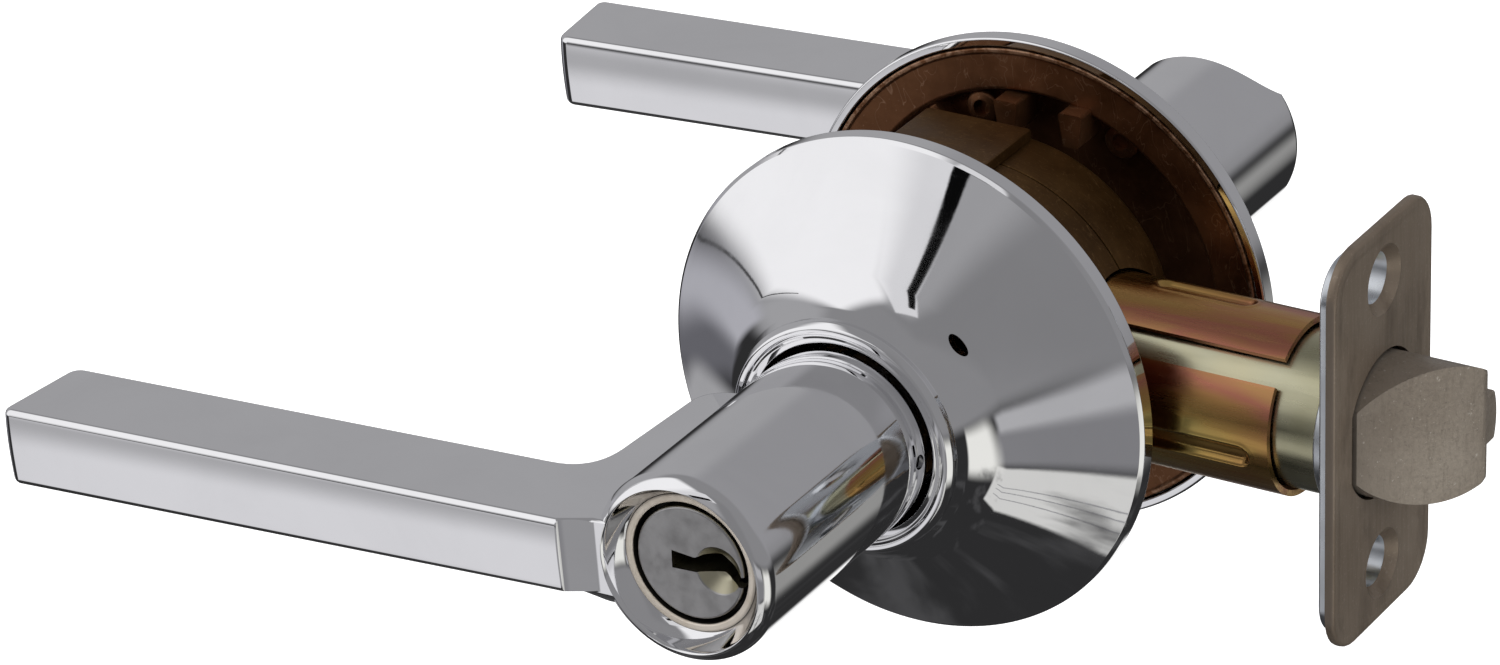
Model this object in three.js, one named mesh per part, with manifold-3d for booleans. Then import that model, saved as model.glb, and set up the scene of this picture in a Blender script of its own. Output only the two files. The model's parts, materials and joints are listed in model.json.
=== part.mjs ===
// A keyed lever handle lockset: two levers on round roses, the round lock chassis between them
// and the spring latch that reaches the door's edge.
// Frame: millimetres. The spindle axis is Y and the latch axis is X, and they cross at the origin.
// +X points to the door's edge, -Y to the keyed exterior side, +Z up.
import * as THREE from "three";
import { mergeVertices } from "three/addons/utils/BufferGeometryUtils.js";
import Module from "manifold-3d";

// ---------------------------------------------------------------- driving dimensions
const BACKSET = 60.325; // spindle axis to the outer face of the faceplate
const SEAT = 16.1; // latch axis to the face of each rose that rests on the door
const ROSE_RADIUS = 35.3;
const ROSE_RIM = 2.4; // height of the straight rim of a rose
const ROSE_WALL = 1.2;
const COLLAR_RADIUS = 16.2;
const COLLAR_BORE = 13.9;
const COLLAR_TOP = 36.3; // latch axis to the mouth of a rose's collar

const LEVER_REACH = 102.4; // spindle axis to the rear corner of a lever's tip
const TIP_SLANT = 1.7; // how much further the front corner of the tip reaches
const ARM_HEIGHT = 10.4;
const TIP_DROP = 0.7; // how much taller the arm grows, on its underside, towards the tip
const ARM_DEPTH = 15;
const ARM_CORNER = 2.2;
const FRONT_CORNER = 1.5;
const EXTERIOR_FACE = 78.25; // latch axis to the outer face of the exterior arm
const INTERIOR_FACE = 71.2;
const DROOP = 3.15; // degrees that a resting lever hangs below level
const HUB_RADIUS = 13;
const HUB_BORE = 11.7;
const HUB_REAR = 35.6; // latch axis to the rear edge of a hub
const BEZEL = 76.2; // latch axis to the crest of the ring round the key cylinder
const NECK_X = 16.5; // where the exterior arm steps back to the hub
const CATCH_Y = 37.85; // latch axis to the lever's release hole

const PLUG_FACE = 73.2;
const PLUG_RADIUS = 6.35;
const PLUG_HEAD_RADIUS = 7.95;
const SHELL_REAR = 52;
const SHELL_RADIUS = 11.4;
const RING_RADIUS = 9.4; // the cylinder's rim that shows round the plug
const KEYWAY = 1.9;
const PIN_COUNT = 5;
const PIN_PITCH = 3.2;
const PIN_RADIUS = 1.15;

const DRUM_RADIUS = 24;
const DRUM_HALF_LENGTH = 12;
const DRUM_WALL = 1.5;
const DRUM_SPLIT = 2.5; // Y of the seam between the two halves of the chassis
const NECK_RADIUS = 10.8;
const NECK_END = 27;
const SPINDLE_RADIUS = 8.5;
const SPINDLE_BORE = 6.8;
const SPINDLE_INNER_END = 2.7;
const CAM_LENGTH = 19.5;
const CAM_THICKNESS = 2.6;

const PLATE_RADIUS = 33.9; // the cast mounting plate inside each rose
const PLATE_STEP = 27.8;
const PLATE_FACE = 16.4;
const PLATE_FLOOR = 20;
const PLATE_WALL = 1.4;
const SCREW_CIRCLE = 29;
const SCREW_ANGLES = [240, 300];
const SCREW_RADIUS = 1.9;
const SCREW_HEAD = 2.8;

const THROW = 12; // travel of the latch bolt and the retractor
const FACEPLATE_WIDTH = 28.575;
const FACEPLATE_HEIGHT = 57.15;
const FACEPLATE_THICKNESS = 1.4;
const FACEPLATE_CORNER = 6.35;
const BACKPLATE_GAP = 0.2;
const BACKPLATE_WIDTH = 26;
const BACKPLATE_HEIGHT = 53.6;
const BACKPLATE_CORNER = 5.2;
const FACE_SCREW_Z = 20.64;
const FACE_SCREW_HEAD = 4.6;
const FACE_SCREW_HOLE = 2.5;
const BOLT_RADIUS = 9.7;
const BOLT_FLAT = 8.2;
const OPENING_FLAT = 9; // the faceplate's opening, on the same side
const BOLT_REAR = 46;
const BOLT_SLOT = 5.8; // Y of the flat floor of the deadlatch's groove
const TUBE_RADIUS = 10.8;
const TUBE_BORE = 10;
const TUBE_REAR = 24.5;
const SLEEVE_RADIUS = 12.2;
const SLEEVE_BORE = 11.2;
const SLEEVE_MIDDLES = [44.5, 224.5]; // degrees round the latch axis, from +Y towards +Z
const SLEEVE_HALF_ANGLE = 80.5;
const SLEEVE_REAR = 19.6;
const SLEEVE_FRONT = 49.6;

const FINE = 40; // facets round a large turned surface
const PLAIN = 26;
const SMALL = 16;
const LARGE = 200; // reaches past the whole lock

const COLOURS = {
  chrome: { color: 0xc9ccd1, roughness: 0.06, metalness: 1 },
  satinBronze: { color: 0x85796c, roughness: 0.42, metalness: 0.9 },
  castBrown: { color: 0x4a3422, roughness: 0.55, metalness: 0.7 },
  zincYellow: { color: 0xb08a52, roughness: 0.3, metalness: 1 },
  zincOlive: { color: 0xa39b78, roughness: 0.35, metalness: 1 },
  zincBright: { color: 0xb9bec4, roughness: 0.3, metalness: 1 },
  steel: { color: 0x8f8a82, roughness: 0.45, metalness: 0.95 },
  springSteel: { color: 0x6f7276, roughness: 0.35, metalness: 1 },
  brass: { color: 0xbfa36a, roughness: 0.35, metalness: 1 },
  nickel: { color: 0xaeb0b4, roughness: 0.3, metalness: 1 },
};

// ---------------------------------------------------------------- making solids
const wasm = await Module();
wasm.setup();

const radians = THREE.MathUtils.degToRad;

/** A closed geometry as a solid with its faces outwards. */
function solid(geometry) {
  const bare = geometry.clone();
  bare.deleteAttribute("normal");
  bare.deleteAttribute("uv");
  const merged = mergeVertices(bare, 1e-4);
  const corners = [];
  for (let i = 0; i < merged.index.count; i += 3) {
    const [a, b, c] = merged.index.array.slice(i, i + 3);
    if (a !== b && b !== c && c !== a) corners.push([a, b, c]);
  }
  const made = (faces) =>
    new wasm.Manifold(
      new wasm.Mesh({
        numProp: 3,
        vertProperties: new Float32Array(merged.attributes.position.array),
        triVerts: new Uint32Array(faces.flat()),
      }),
    );
  const first = made(corners);
  return first.volume() >= 0 ? first : made(corners.map(([a, b, c]) => [a, c, b]));
}

function geometryOf(shape) {
  const mesh = shape.getMesh();
  const stride = mesh.numProp;
  const places = new Float32Array(mesh.numVert * 3);
  for (let i = 0; i < mesh.numVert; i++)
    places.set(mesh.vertProperties.subarray(i * stride, i * stride + 3), i * 3);
  const geometry = new THREE.BufferGeometry();
  geometry.setAttribute("position", new THREE.BufferAttribute(places, 3));
  geometry.setIndex(new THREE.BufferAttribute(mesh.triVerts, 1));
  geometry.computeVertexNormals();
  return geometry;
}

/** A surface of revolution round Y from its [radius, y] outline, which closes on itself or on the axis. */
function turned(outline, segments = PLAIN) {
  const points = outline.map(([r, y]) => new THREE.Vector2(r, y));
  if (outline[0][0] > 0) points.push(points[0].clone());
  return new THREE.LatheGeometry(points, segments);
}

/** The same round the latch axis, from its [radius, x] outline. */
function turnedOnX(outline, segments = PLAIN) {
  return turned(outline, segments).rotateZ(-Math.PI / 2);
}

function disc(radius, from, to) {
  return [
    [0, from],
    [radius, from],
    [radius, to],
    [0, to],
  ];
}

function ring(inner, outer, from, to) {
  return [
    [inner, from],
    [outer, from],
    [outer, to],
    [inner, to],
  ];
}

function block([x0, x1], [y0, y1], [z0, z1]) {
  const box = new THREE.BoxGeometry(x1 - x0, y1 - y0, z1 - z0);
  return box.translate((x0 + x1) / 2, (y0 + y1) / 2, (z0 + z1) / 2);
}

/** A flat shape drawn in the plane across X, pushed along X. */
function plateOnX(shape, from, to, curveSegments = 6) {
  const depth = to - from;
  const flat = new THREE.ExtrudeGeometry(shape, { depth, bevelEnabled: false, curveSegments });
  const turn = new THREE.Matrix4().makeBasis(
    new THREE.Vector3(0, 1, 0),
    new THREE.Vector3(0, 0, 1),
    new THREE.Vector3(1, 0, 0),
  );
  return flat.applyMatrix4(turn).translate(from, 0, 0);
}

function roundedRectangle(width, height, corner) {
  const [w, h] = [width / 2, height / 2];
  const shape = new THREE.Shape();
  shape.moveTo(w - corner, -h);
  shape.absarc(w - corner, corner - h, corner, -Math.PI / 2, 0);
  shape.absarc(w - corner, h - corner, corner, 0, Math.PI / 2);
  shape.absarc(corner - w, h - corner, corner, Math.PI / 2, Math.PI);
  shape.absarc(corner - w, corner - h, corner, Math.PI, 1.5 * Math.PI);
  return shape;
}

class Helix extends THREE.Curve {
  constructor(radius, from, to, turns) {
    super();
    Object.assign(this, { radius, from, to, turns });
  }
  getPoint(t) {
    const angle = 2 * Math.PI * this.turns * t;
    const along = THREE.MathUtils.lerp(this.from, this.to, t);
    return new THREE.Vector3(this.radius * Math.cos(angle), along, this.radius * Math.sin(angle));
  }
}

/** A coil spring round Y: its wire lies between the two ends. */
function coil(radius, wire, from, to, turns, stepsPerTurn = 8) {
  const section = new THREE.Shape();
  for (let i = 0; i < 4; i++) {
    const angle = (i * Math.PI) / 2;
    section[i ? "lineTo" : "moveTo"](wire * Math.cos(angle), wire * Math.sin(angle));
  }
  return new THREE.ExtrudeGeometry(section, {
    steps: Math.round(turns * stepsPerTurn),
    bevelEnabled: false,
    extrudePath: new Helix(radius, from + wire, to - wire, turns),
  });
}

// ---------------------------------------------------------------- the tree of named pieces
const lockset = new THREE.Group();

/** Adds a named piece, given as a geometry or a solid, to a group. */
function piece(parent, name, shape, colour) {
  const geometry = geometryOf(shape.isBufferGeometry ? solid(shape) : shape);
  const mesh = new THREE.Mesh(geometry, new THREE.MeshStandardMaterial(COLOURS[colour]));
  mesh.name = name;
  parent.add(mesh);
  return mesh;
}

/** A group in which +Y points outwards from the door on either side of the lock. */
function sideGroup(side) {
  const group = new THREE.Group();
  group.scale.y = side;
  lockset.add(group);
  return group;
}

const exterior = sideGroup(-1);
const interior = sideGroup(1);

// ---------------------------------------------------------------- roses
function rose() {
  const rimTop = SEAT + ROSE_RIM;
  const outline = [
    [ROSE_RADIUS - ROSE_WALL, SEAT],
    [ROSE_RADIUS, SEAT],
    [ROSE_RADIUS, rimTop],
    [ROSE_RADIUS - 0.5, rimTop + 0.5],
    [20, 29.2],
    [17.8, 30.9],
    [COLLAR_RADIUS + 0.4, 32.3],
    [COLLAR_RADIUS, 34],
    [COLLAR_RADIUS - 0.5, COLLAR_TOP - 0.4],
    [COLLAR_RADIUS - 1.4, COLLAR_TOP],
    [COLLAR_BORE, COLLAR_TOP - 0.4],
    [COLLAR_BORE, 33],
    [15.4, 31],
    [19.3, 28.1],
    [ROSE_RADIUS - ROSE_WALL, rimTop - 0.6],
  ];
  const shell = solid(turned(outline, FINE));
  const wrenchHole = solid(turned(disc(0.8, 20, 40), SMALL)).translate([14.2, 0, 14]);
  return shell.subtract(wrenchHole);
}

piece(exterior, "exterior_rose", rose(), "chrome");
piece(interior, "interior_rose", rose(), "chrome");

// ---------------------------------------------------------------- levers
/** The arm and its web, seen from above: X along the arm, Y outwards from the door. */
function armOutline(face, keyed) {
  const back = face - ARM_DEPTH;
  const tip = -LEVER_REACH;
  const front = tip - TIP_SLANT;
  const web = HUB_REAR + 1.6;
  const shape = new THREE.Shape();
  shape.moveTo(front + FRONT_CORNER, face);
  if (keyed) {
    shape.lineTo(-NECK_X, face);
    shape.lineTo(-NECK_X, face - 2.8);
    shape.quadraticCurveTo(-13.5, face - 5.2, -9, BEZEL - 3.5);
    shape.lineTo(0, BEZEL - 3.5);
  } else {
    shape.lineTo(-8, face);
    shape.lineTo(-8, face - 3);
    shape.lineTo(0, face - 3);
  }
  shape.lineTo(0, web);
  shape.lineTo(-14, web);
  shape.quadraticCurveTo(-18.6, web + 0.6, -19.1, web + 4.5);
  shape.lineTo(-20, back - 6);
  shape.quadraticCurveTo(-20.4, back, -26, back);
  shape.lineTo(tip + ARM_CORNER, back);
  shape.quadraticCurveTo(tip, back, tip, back + ARM_CORNER);
  shape.lineTo(front + 0.2, face - FRONT_CORNER);
  shape.quadraticCurveTo(front, face, front + FRONT_CORNER, face);
  return shape;
}

/** What is cut from below the arm, so that its underside is level at the hub and slopes to the tip. */
function armUnderside() {
  const half = ARM_HEIGHT / 2;
  const end = -LEVER_REACH - TIP_SLANT;
  const shape = new THREE.Shape();
  shape.moveTo(-NECK_X - 4, -half);
  shape.lineTo(end, -half - TIP_DROP);
  shape.lineTo(end, -LARGE);
  shape.lineTo(LARGE, -LARGE);
  shape.lineTo(LARGE, -half);
  const cut = new THREE.ExtrudeGeometry(shape, { depth: LARGE, bevelEnabled: false });
  return solid(cut.rotateX(Math.PI / 2).translate(0, LARGE, 0));
}

function armSlab(face, keyed) {
  const flat = new THREE.ExtrudeGeometry(armOutline(face, keyed), {
    depth: ARM_HEIGHT + TIP_DROP,
    bevelEnabled: false,
    curveSegments: 5,
  });
  return solid(flat.translate(0, 0, -ARM_HEIGHT / 2 - TIP_DROP)).subtract(armUnderside());
}

/** The small hole in the hub's rear edge that a pin goes through to free the lever. */
function releaseHole() {
  return solid(turnedOnX(disc(1.05, 11, 14), SMALL)).translate([0, CATCH_Y, 0]);
}

function exteriorLever() {
  const hub = turned(
    [
      [0, HUB_REAR],
      [HUB_RADIUS - 0.8, HUB_REAR],
      [HUB_RADIUS, HUB_REAR + 0.8],
      [HUB_RADIUS, BEZEL - 2.4],
      [HUB_RADIUS - 0.3, BEZEL - 1],
      [HUB_RADIUS - 1.1, BEZEL],
      [0, BEZEL],
    ],
    FINE,
  );
  const cavity = turned(
    [
      [0, HUB_REAR - 1],
      [HUB_BORE, HUB_REAR - 1],
      [HUB_BORE, BEZEL - 5.3],
      [RING_RADIUS + 0.2, BEZEL - 5.3],
      [RING_RADIUS + 0.2, BEZEL - 2.7],
      [10.7, BEZEL - 1],
      [11.1, BEZEL - 0.2],
      [11.1, BEZEL + 1],
      [0, BEZEL + 1],
    ],
    FINE,
  );
  return armSlab(EXTERIOR_FACE, true).add(solid(hub)).subtract(solid(cavity)).subtract(releaseHole());
}

function interiorLever() {
  const end = INTERIOR_FACE - 0.2;
  const hub = turned(
    [
      [0, HUB_REAR],
      [HUB_RADIUS - 0.8, HUB_REAR],
      [HUB_RADIUS, HUB_REAR + 0.8],
      [HUB_RADIUS, end - 2.2],
      [HUB_RADIUS - 0.7, end - 0.6],
      [HUB_RADIUS - 1.8, end],
      [7.5, end],
      [5.4, end - 1.6],
      [0, end - 1.6],
    ],
    FINE,
  );
  const cavity = turned(disc(HUB_BORE, HUB_REAR - 1, end - 4.5), FINE);
  const buttonHole = turned(disc(4.6, end - 6, end + 1), PLAIN);
  const thumbScoop = solid(turnedOnX(disc(10.5, -20, 20), PLAIN)).translate([0, end + 4.5, 16]);
  return armSlab(INTERIOR_FACE, false)
    .subtract(solid(turned(disc(7.5, end - 1.6, end + 1), PLAIN)))
    .add(solid(hub))
    .subtract(solid(cavity))
    .subtract(solid(buttonHole))
    .subtract(thumbScoop)
    .subtract(releaseHole());
}

/** The group that hangs a lever and what turns with it a little below level. */
function droopingGroup(parent) {
  const group = new THREE.Group();
  group.rotation.y = -radians(DROOP);
  parent.add(group);
  return group;
}

const exteriorTurning = droopingGroup(exterior);
const interiorTurning = droopingGroup(interior);
piece(exteriorTurning, "exterior_lever", exteriorLever(), "chrome");
piece(interiorTurning, "interior_lever", interiorLever(), "chrome");

// ---------------------------------------------------------------- spindles and their catches
/** A tube with a wide socket inside the lever's hub and a cam arm at its inner end. */
function spindle() {
  const socket = HUB_BORE - 0.35;
  const wall = 1.4;
  const tube = turned([
    [SPINDLE_BORE, SPINDLE_INNER_END],
    [SPINDLE_RADIUS, SPINDLE_INNER_END],
    [SPINDLE_RADIUS, HUB_REAR - 2.4],
    [socket, HUB_REAR - 0.6],
    [socket, SHELL_REAR - 0.6],
    [socket - wall, SHELL_REAR - 0.6],
    [socket - wall, HUB_REAR + 0.5],
    [SPINDLE_BORE, HUB_REAR - 0.9],
  ]);
  const ends = [SPINDLE_INNER_END, SPINDLE_INNER_END + CAM_THICKNESS];
  const arm = block([-2, 2], ends, [SPINDLE_RADIUS - 1, CAM_LENGTH]);
  const catchHole = solid(turnedOnX(disc(0.95, 9, 13), SMALL)).translate([0, CATCH_Y, 0]);
  return solid(tube).add(solid(arm)).subtract(catchHole.rotate([0, -DROOP, 0]));
}

/** The sprung pin that holds the lever on its spindle. */
function leverCatch() {
  const pin = [
    [0, 8.2],
    [1.5, 8.2],
    [1.5, 9.4],
    [0.8, 9.4],
    [0.8, 12.2],
    [0, 12.6],
  ];
  return turnedOnX(pin, 12).translate(0, CATCH_Y, 0);
}

/** The leaf spring bent inside the spindle's socket behind the catch. */
function catchSpring() {
  const leaf = solid(block([6.9, 7.9], [CATCH_Y - 1, SHELL_REAR - 4.5], [-1.4, 1.4]));
  const hook = solid(block([7.5, 9.6], [SHELL_REAR - 5.3, SHELL_REAR - 4.5], [-1.4, 1.4]));
  return leaf.add(hook);
}

piece(exterior, "exterior_spindle", spindle(), "zincBright");
piece(interior, "interior_spindle", spindle(), "zincBright");
piece(exteriorTurning, "exterior_lever_catch", leverCatch(), "steel");
piece(interiorTurning, "interior_lever_catch", leverCatch(), "steel");
piece(exteriorTurning, "exterior_catch_spring", catchSpring(), "springSteel");
piece(interiorTurning, "interior_catch_spring", catchSpring(), "springSteel");

// ---------------------------------------------------------------- key cylinder
const pinPlaces = Array.from({ length: PIN_COUNT }, (_, i) => SHELL_REAR + 4 + i * PIN_PITCH);

function cylinderShell() {
  const outline = [
    [PLUG_RADIUS + 0.1, SHELL_REAR],
    [SHELL_RADIUS, SHELL_REAR],
    [SHELL_RADIUS, BEZEL - 5.6],
    [RING_RADIUS, BEZEL - 5.6],
    [RING_RADIUS, PLUG_FACE + 0.1],
    [PLUG_HEAD_RADIUS + 0.35, PLUG_FACE + 0.1],
    [PLUG_HEAD_RADIUS + 0.35, PLUG_FACE - 1.8],
    [PLUG_RADIUS + 0.1, PLUG_FACE - 1.8],
  ];
  return pinPlaces.reduce(
    (shell, y) => shell.subtract(pinBore(y, SHELL_RADIUS + 1)),
    solid(turned(outline)),
  );
}

/** The bore of one pin, from the keyway out to the given distance on the -X side. */
function pinBore(y, reach) {
  return solid(turnedOnX(disc(PIN_RADIUS + 0.15, -reach, -2.4), 10)).translate([0, y, 0]);
}

/** The plug with its head, its warded keyway and the dished lead-in round the keyway. */
function keyPlug() {
  const outline = [
    [0, SHELL_REAR - 1.6],
    [5, SHELL_REAR - 1.6],
    [5, SHELL_REAR - 0.2],
    [PLUG_RADIUS, SHELL_REAR - 0.2],
    [PLUG_RADIUS, PLUG_FACE - 1.5],
    [PLUG_HEAD_RADIUS, PLUG_FACE - 1.5],
    [PLUG_HEAD_RADIUS, PLUG_FACE - 0.3],
    [PLUG_HEAD_RADIUS - 0.3, PLUG_FACE],
    [0, PLUG_FACE],
  ];
  const half = KEYWAY / 2;
  const slot = block([-2.6, 8.5], [SHELL_REAR - 0.4, PLUG_FACE + 1], [-half, half]);
  const ward = block([0.6, 2.4], [SHELL_REAR, PLUG_FACE - 0.4], [-half - 0.2, 0]);
  const leadIn = [
    [0, PLUG_FACE - 1.6],
    [2.2, PLUG_FACE - 1.5],
    [3.4, PLUG_FACE + 0.4],
    [0, PLUG_FACE + 0.4],
  ];
  const lastGap = block([4.2, 8.5], [PLUG_FACE - 1.6, PLUG_FACE + 1], [-half - 0.5, half + 0.5]);
  return pinPlaces
    .reduce((plug, y) => plug.subtract(pinBore(y, PLUG_RADIUS + 1)), solid(turned(outline)))
    .subtract(solid(slot).subtract(solid(ward)))
    .subtract(solid(turned(leadIn, SMALL)).translate([4.4, 0, 0]))
    .subtract(solid(lastGap));
}

/** The disc behind the plug and the flat bar that carries its turn to the chassis. */
function tailpiece() {
  const cap = solid(turned(disc(5.5, SHELL_REAR - 3.2, SHELL_REAR - 1.9), SMALL));
  return cap.add(solid(block([-2.3, 2.3], [0.8, SHELL_REAR - 2.5], [-0.7, 0.7])));
}

/** The open clip that holds the plug in its shell. */
function plugClip() {
  const whole = solid(turned(ring(5.15, 7.6, SHELL_REAR - 1.1, SHELL_REAR - 0.5), SMALL));
  return whole.subtract(solid(block([-10, 0], [SHELL_REAR - 2, SHELL_REAR], [-2.4, 2.4])));
}

function pin(from, to) {
  return turnedOnX(disc(PIN_RADIUS, from, to), 8);
}

piece(exterior, "cylinder_shell", cylinderShell(), "brass");
piece(exterior, "key_plug", keyPlug(), "nickel");
piece(exterior, "plug_clip", plugClip(), "springSteel");
piece(exterior, "tailpiece", tailpiece(), "zincBright");
pinPlaces.forEach((y, i) => {
  const number = i + 1;
  const keyPinEnd = -2.7 - 0.3 * ((2 * i) % PIN_COUNT);
  const springShape = coil(0.85, 0.2, 9.3, SHELL_RADIUS, 3, 6).rotateZ(Math.PI / 2);
  piece(exterior, `key_pin_${number}`, pin(-6.2, keyPinEnd).translate(0, y, 0), "brass");
  piece(exterior, `driver_pin_${number}`, pin(-9.1, -6.6).translate(0, y, 0), "brass");
  piece(exterior, `pin_spring_${number}`, springShape.translate(0, y, 0), "springSteel");
});

// ---------------------------------------------------------------- push and turn button
const BUTTON_FLOOR = INTERIOR_FACE - 6.2;

/** The disc inside the hub that the button's spring pushes on. */
function buttonGuide() {
  return turned(ring(2, HUB_BORE - 0.3, BUTTON_FLOOR - 7, BUTTON_FLOOR - 5.8));
}

function buttonRetainer() {
  return turned(ring(3.1, 5.6, BUTTON_FLOOR, BUTTON_FLOOR + 1.2), 20);
}

/** The round button with a raised thumb bar across it. */
function turnButton() {
  const outline = [
    [1.7, BUTTON_FLOOR - 0.6],
    [2.9, BUTTON_FLOOR - 0.6],
    [2.9, BUTTON_FLOOR + 1.5],
    [4.3, BUTTON_FLOOR + 1.5],
    [4.3, INTERIOR_FACE - 1],
    [3.8, INTERIOR_FACE - 0.5],
    [0, INTERIOR_FACE - 0.5],
    [0, BUTTON_FLOOR + 2],
    [1.7, BUTTON_FLOOR + 2],
  ];
  const bar = block([-3.6, 3.6], [INTERIOR_FACE - 1, INTERIOR_FACE + 1.3], [-1, 1]);
  return solid(turned(outline)).add(solid(bar));
}

function lockBar() {
  return turned(disc(1.5, 3.6, BUTTON_FLOOR + 1.8), 12);
}

function buttonSpring() {
  return coil(2.3, 0.25, BUTTON_FLOOR - 5.7, BUTTON_FLOOR - 0.7, 4);
}

piece(interior, "button_guide", buttonGuide(), "zincBright");
piece(interior, "button_retainer", buttonRetainer(), "springSteel");
piece(interior, "turn_button", turnButton(), "chrome");
piece(interior, "lock_bar", lockBar(), "zincBright");
piece(interior, "button_spring", buttonSpring(), "springSteel");

// ---------------------------------------------------------------- mounting plates
/** A place in the plates' plane, given round the spindle axis from +X towards +Z. */
function around(radius, degrees) {
  return [radius * Math.cos(radians(degrees)), 0, radius * Math.sin(radians(degrees))];
}

/** The cast plate inside a rose: a flat flange, a cup, two hooked posts, two bosses and three ribs. */
function mountingPlate(screwHole, screwSeat) {
  const back = PLATE_FACE + 1.3;
  const cup = PLATE_FLOOR + PLATE_WALL;
  const outline = [
    [NECK_RADIUS + 0.2, PLATE_FLOOR],
    [PLATE_STEP - 1.2, PLATE_FLOOR],
    [PLATE_STEP, PLATE_FACE],
    [PLATE_RADIUS - 1, PLATE_FACE],
    [PLATE_RADIUS - 0.6, PLATE_FACE - 0.25],
    [PLATE_RADIUS - 0.1, PLATE_FACE - 0.25],
    [PLATE_RADIUS - 0.1, back - 0.2],
    [PLATE_STEP + 1.3, back],
    [PLATE_STEP - 0.1, cup],
    [NECK_RADIUS + 0.2, cup],
  ];
  const boss = turned(disc(2.9, PLATE_FACE + 0.9, PLATE_FLOOR + 0.4), SMALL);
  const bossHole = turned(disc(1.5, PLATE_FACE - 1, PLATE_FLOOR - 1.2), 12);
  const post = (x) => solid(block([x - 1.3, x + 1.3], [13.4, PLATE_FLOOR + 0.4], [23.2, 27.2]));
  const hookGap = (x) => solid(block([x - 2, x + 2], [14.4, 16.2], [24.6, 28]));
  const rib = block([12.5, PLATE_STEP], [PLATE_FACE + 0.6, PLATE_FLOOR + 0.4], [-0.7, 0.7]);
  let plate = solid(turned(outline));
  for (const x of [-2.6, 7.2]) plate = plate.add(post(x)).subtract(hookGap(x));
  for (const place of [around(24.6, 111), around(25.4, 61)])
    plate = plate.add(solid(boss).translate(place)).subtract(solid(bossHole).translate(place));
  for (const degrees of [-125, -160, -200])
    plate = plate.add(solid(rib).rotate([0, degrees, 0]));
  const screwWay = solid(turned(disc(screwHole, PLATE_FACE - 1, back + 1), 12));
  const seatWay = solid(turned(disc(screwSeat, back, cup + 2), SMALL));
  for (const degrees of SCREW_ANGLES)
    plate = plate.subtract(screwWay.add(seatWay).translate(around(SCREW_CIRCLE, degrees)));
  return plate;
}

/** The threaded ring that clamps a mounting plate to the neck of the chassis. */
function lockRing() {
  const from = PLATE_FLOOR + PLATE_WALL + 0.2;
  return turned(ring(NECK_RADIUS + 0.3, NECK_RADIUS + 3.2, from, from + 1.9), PLAIN);
}

function returnSpring() {
  return coil(12.6, 0.55, 24.1, 28.4, 3, 14);
}

/** A long screw that draws the two mounting plates together through the door. */
function mountingScrew() {
  const outline = [
    [0, -18.2],
    [SCREW_RADIUS - 0.4, -18.2],
    [SCREW_RADIUS, -17.8],
    [SCREW_RADIUS, PLATE_FACE + 1.5],
    [SCREW_HEAD, PLATE_FACE + 1.5],
    [SCREW_HEAD, PLATE_FACE + 2.2],
    [SCREW_HEAD - 0.8, PLATE_FACE + 2.7],
    [0, PLATE_FACE + 2.7],
  ];
  const slot = block([-3, 3], [PLATE_FACE + 2, PLATE_FACE + 3], [-0.4, 0.4]);
  return solid(turned(outline, 12)).subtract(solid(slot));
}

piece(exterior, "exterior_mounting_plate", mountingPlate(SCREW_RADIUS + 0.15, SCREW_RADIUS + 0.5), "castBrown");
piece(interior, "interior_mounting_plate", mountingPlate(SCREW_RADIUS + 0.3, SCREW_HEAD + 0.4), "castBrown");
piece(exterior, "exterior_lock_ring", lockRing(), "zincBright");
piece(interior, "interior_lock_ring", lockRing(), "zincBright");
piece(exterior, "exterior_return_spring", returnSpring(), "springSteel");
piece(interior, "interior_return_spring", returnSpring(), "springSteel");
SCREW_ANGLES.forEach((degrees, i) => {
  const placed = mountingScrew().translate(around(SCREW_CIRCLE, degrees));
  piece(interior, `mounting_screw_${i + 1}`, placed, "zincBright");
});

// ---------------------------------------------------------------- chassis and retractor
const drumInside = DRUM_RADIUS - DRUM_WALL;

/** One half of the chassis drum, from the seam to the end of its neck. */
function chassisHalf(seam) {
  const end = DRUM_HALF_LENGTH;
  const outline = [
    [drumInside, seam],
    [DRUM_RADIUS, seam],
    [DRUM_RADIUS, end - 0.8],
    [DRUM_RADIUS - 0.8, end],
    [NECK_RADIUS, end],
    [NECK_RADIUS, NECK_END],
    [SPINDLE_RADIUS + 0.25, NECK_END],
    [SPINDLE_RADIUS + 0.25, end - DRUM_WALL],
    [drumInside, end - DRUM_WALL],
  ];
  const latchWay = turnedOnX(disc(SLEEVE_RADIUS + 0.3, 14, DRUM_RADIUS + 2), PLAIN);
  return solid(turned(outline, FINE)).subtract(solid(latchWay));
}

/** The block inside the drum that a retractor spring pushes against, clear of the other half's wall. */
function springStop() {
  const end = DRUM_HALF_LENGTH - DRUM_WALL / 2;
  const free = solid(turned(disc(drumInside - 0.3, -DRUM_SPLIT, end), FINE));
  const joined = solid(turned(disc(drumInside + DRUM_WALL / 2, DRUM_SPLIT + 0.2, end), FINE));
  return solid(block([-21.5, -17.2], [-1.9, end], [10, 14])).intersect(free.add(joined));
}

function interiorHalf() {
  const stop = springStop();
  return chassisHalf(DRUM_SPLIT + 0.1).add(stop).add(stop.mirror([0, 0, 1]));
}

/** The flat-topped cap that bridges the seam on top of the drum. */
function chassisCap() {
  const whole = solid(block([-13, 3], [-11.2, 11.2], [14, 25.4]));
  return whole.subtract(solid(turned(disc(DRUM_RADIUS + 0.15, -20, 20), 96)));
}

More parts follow.
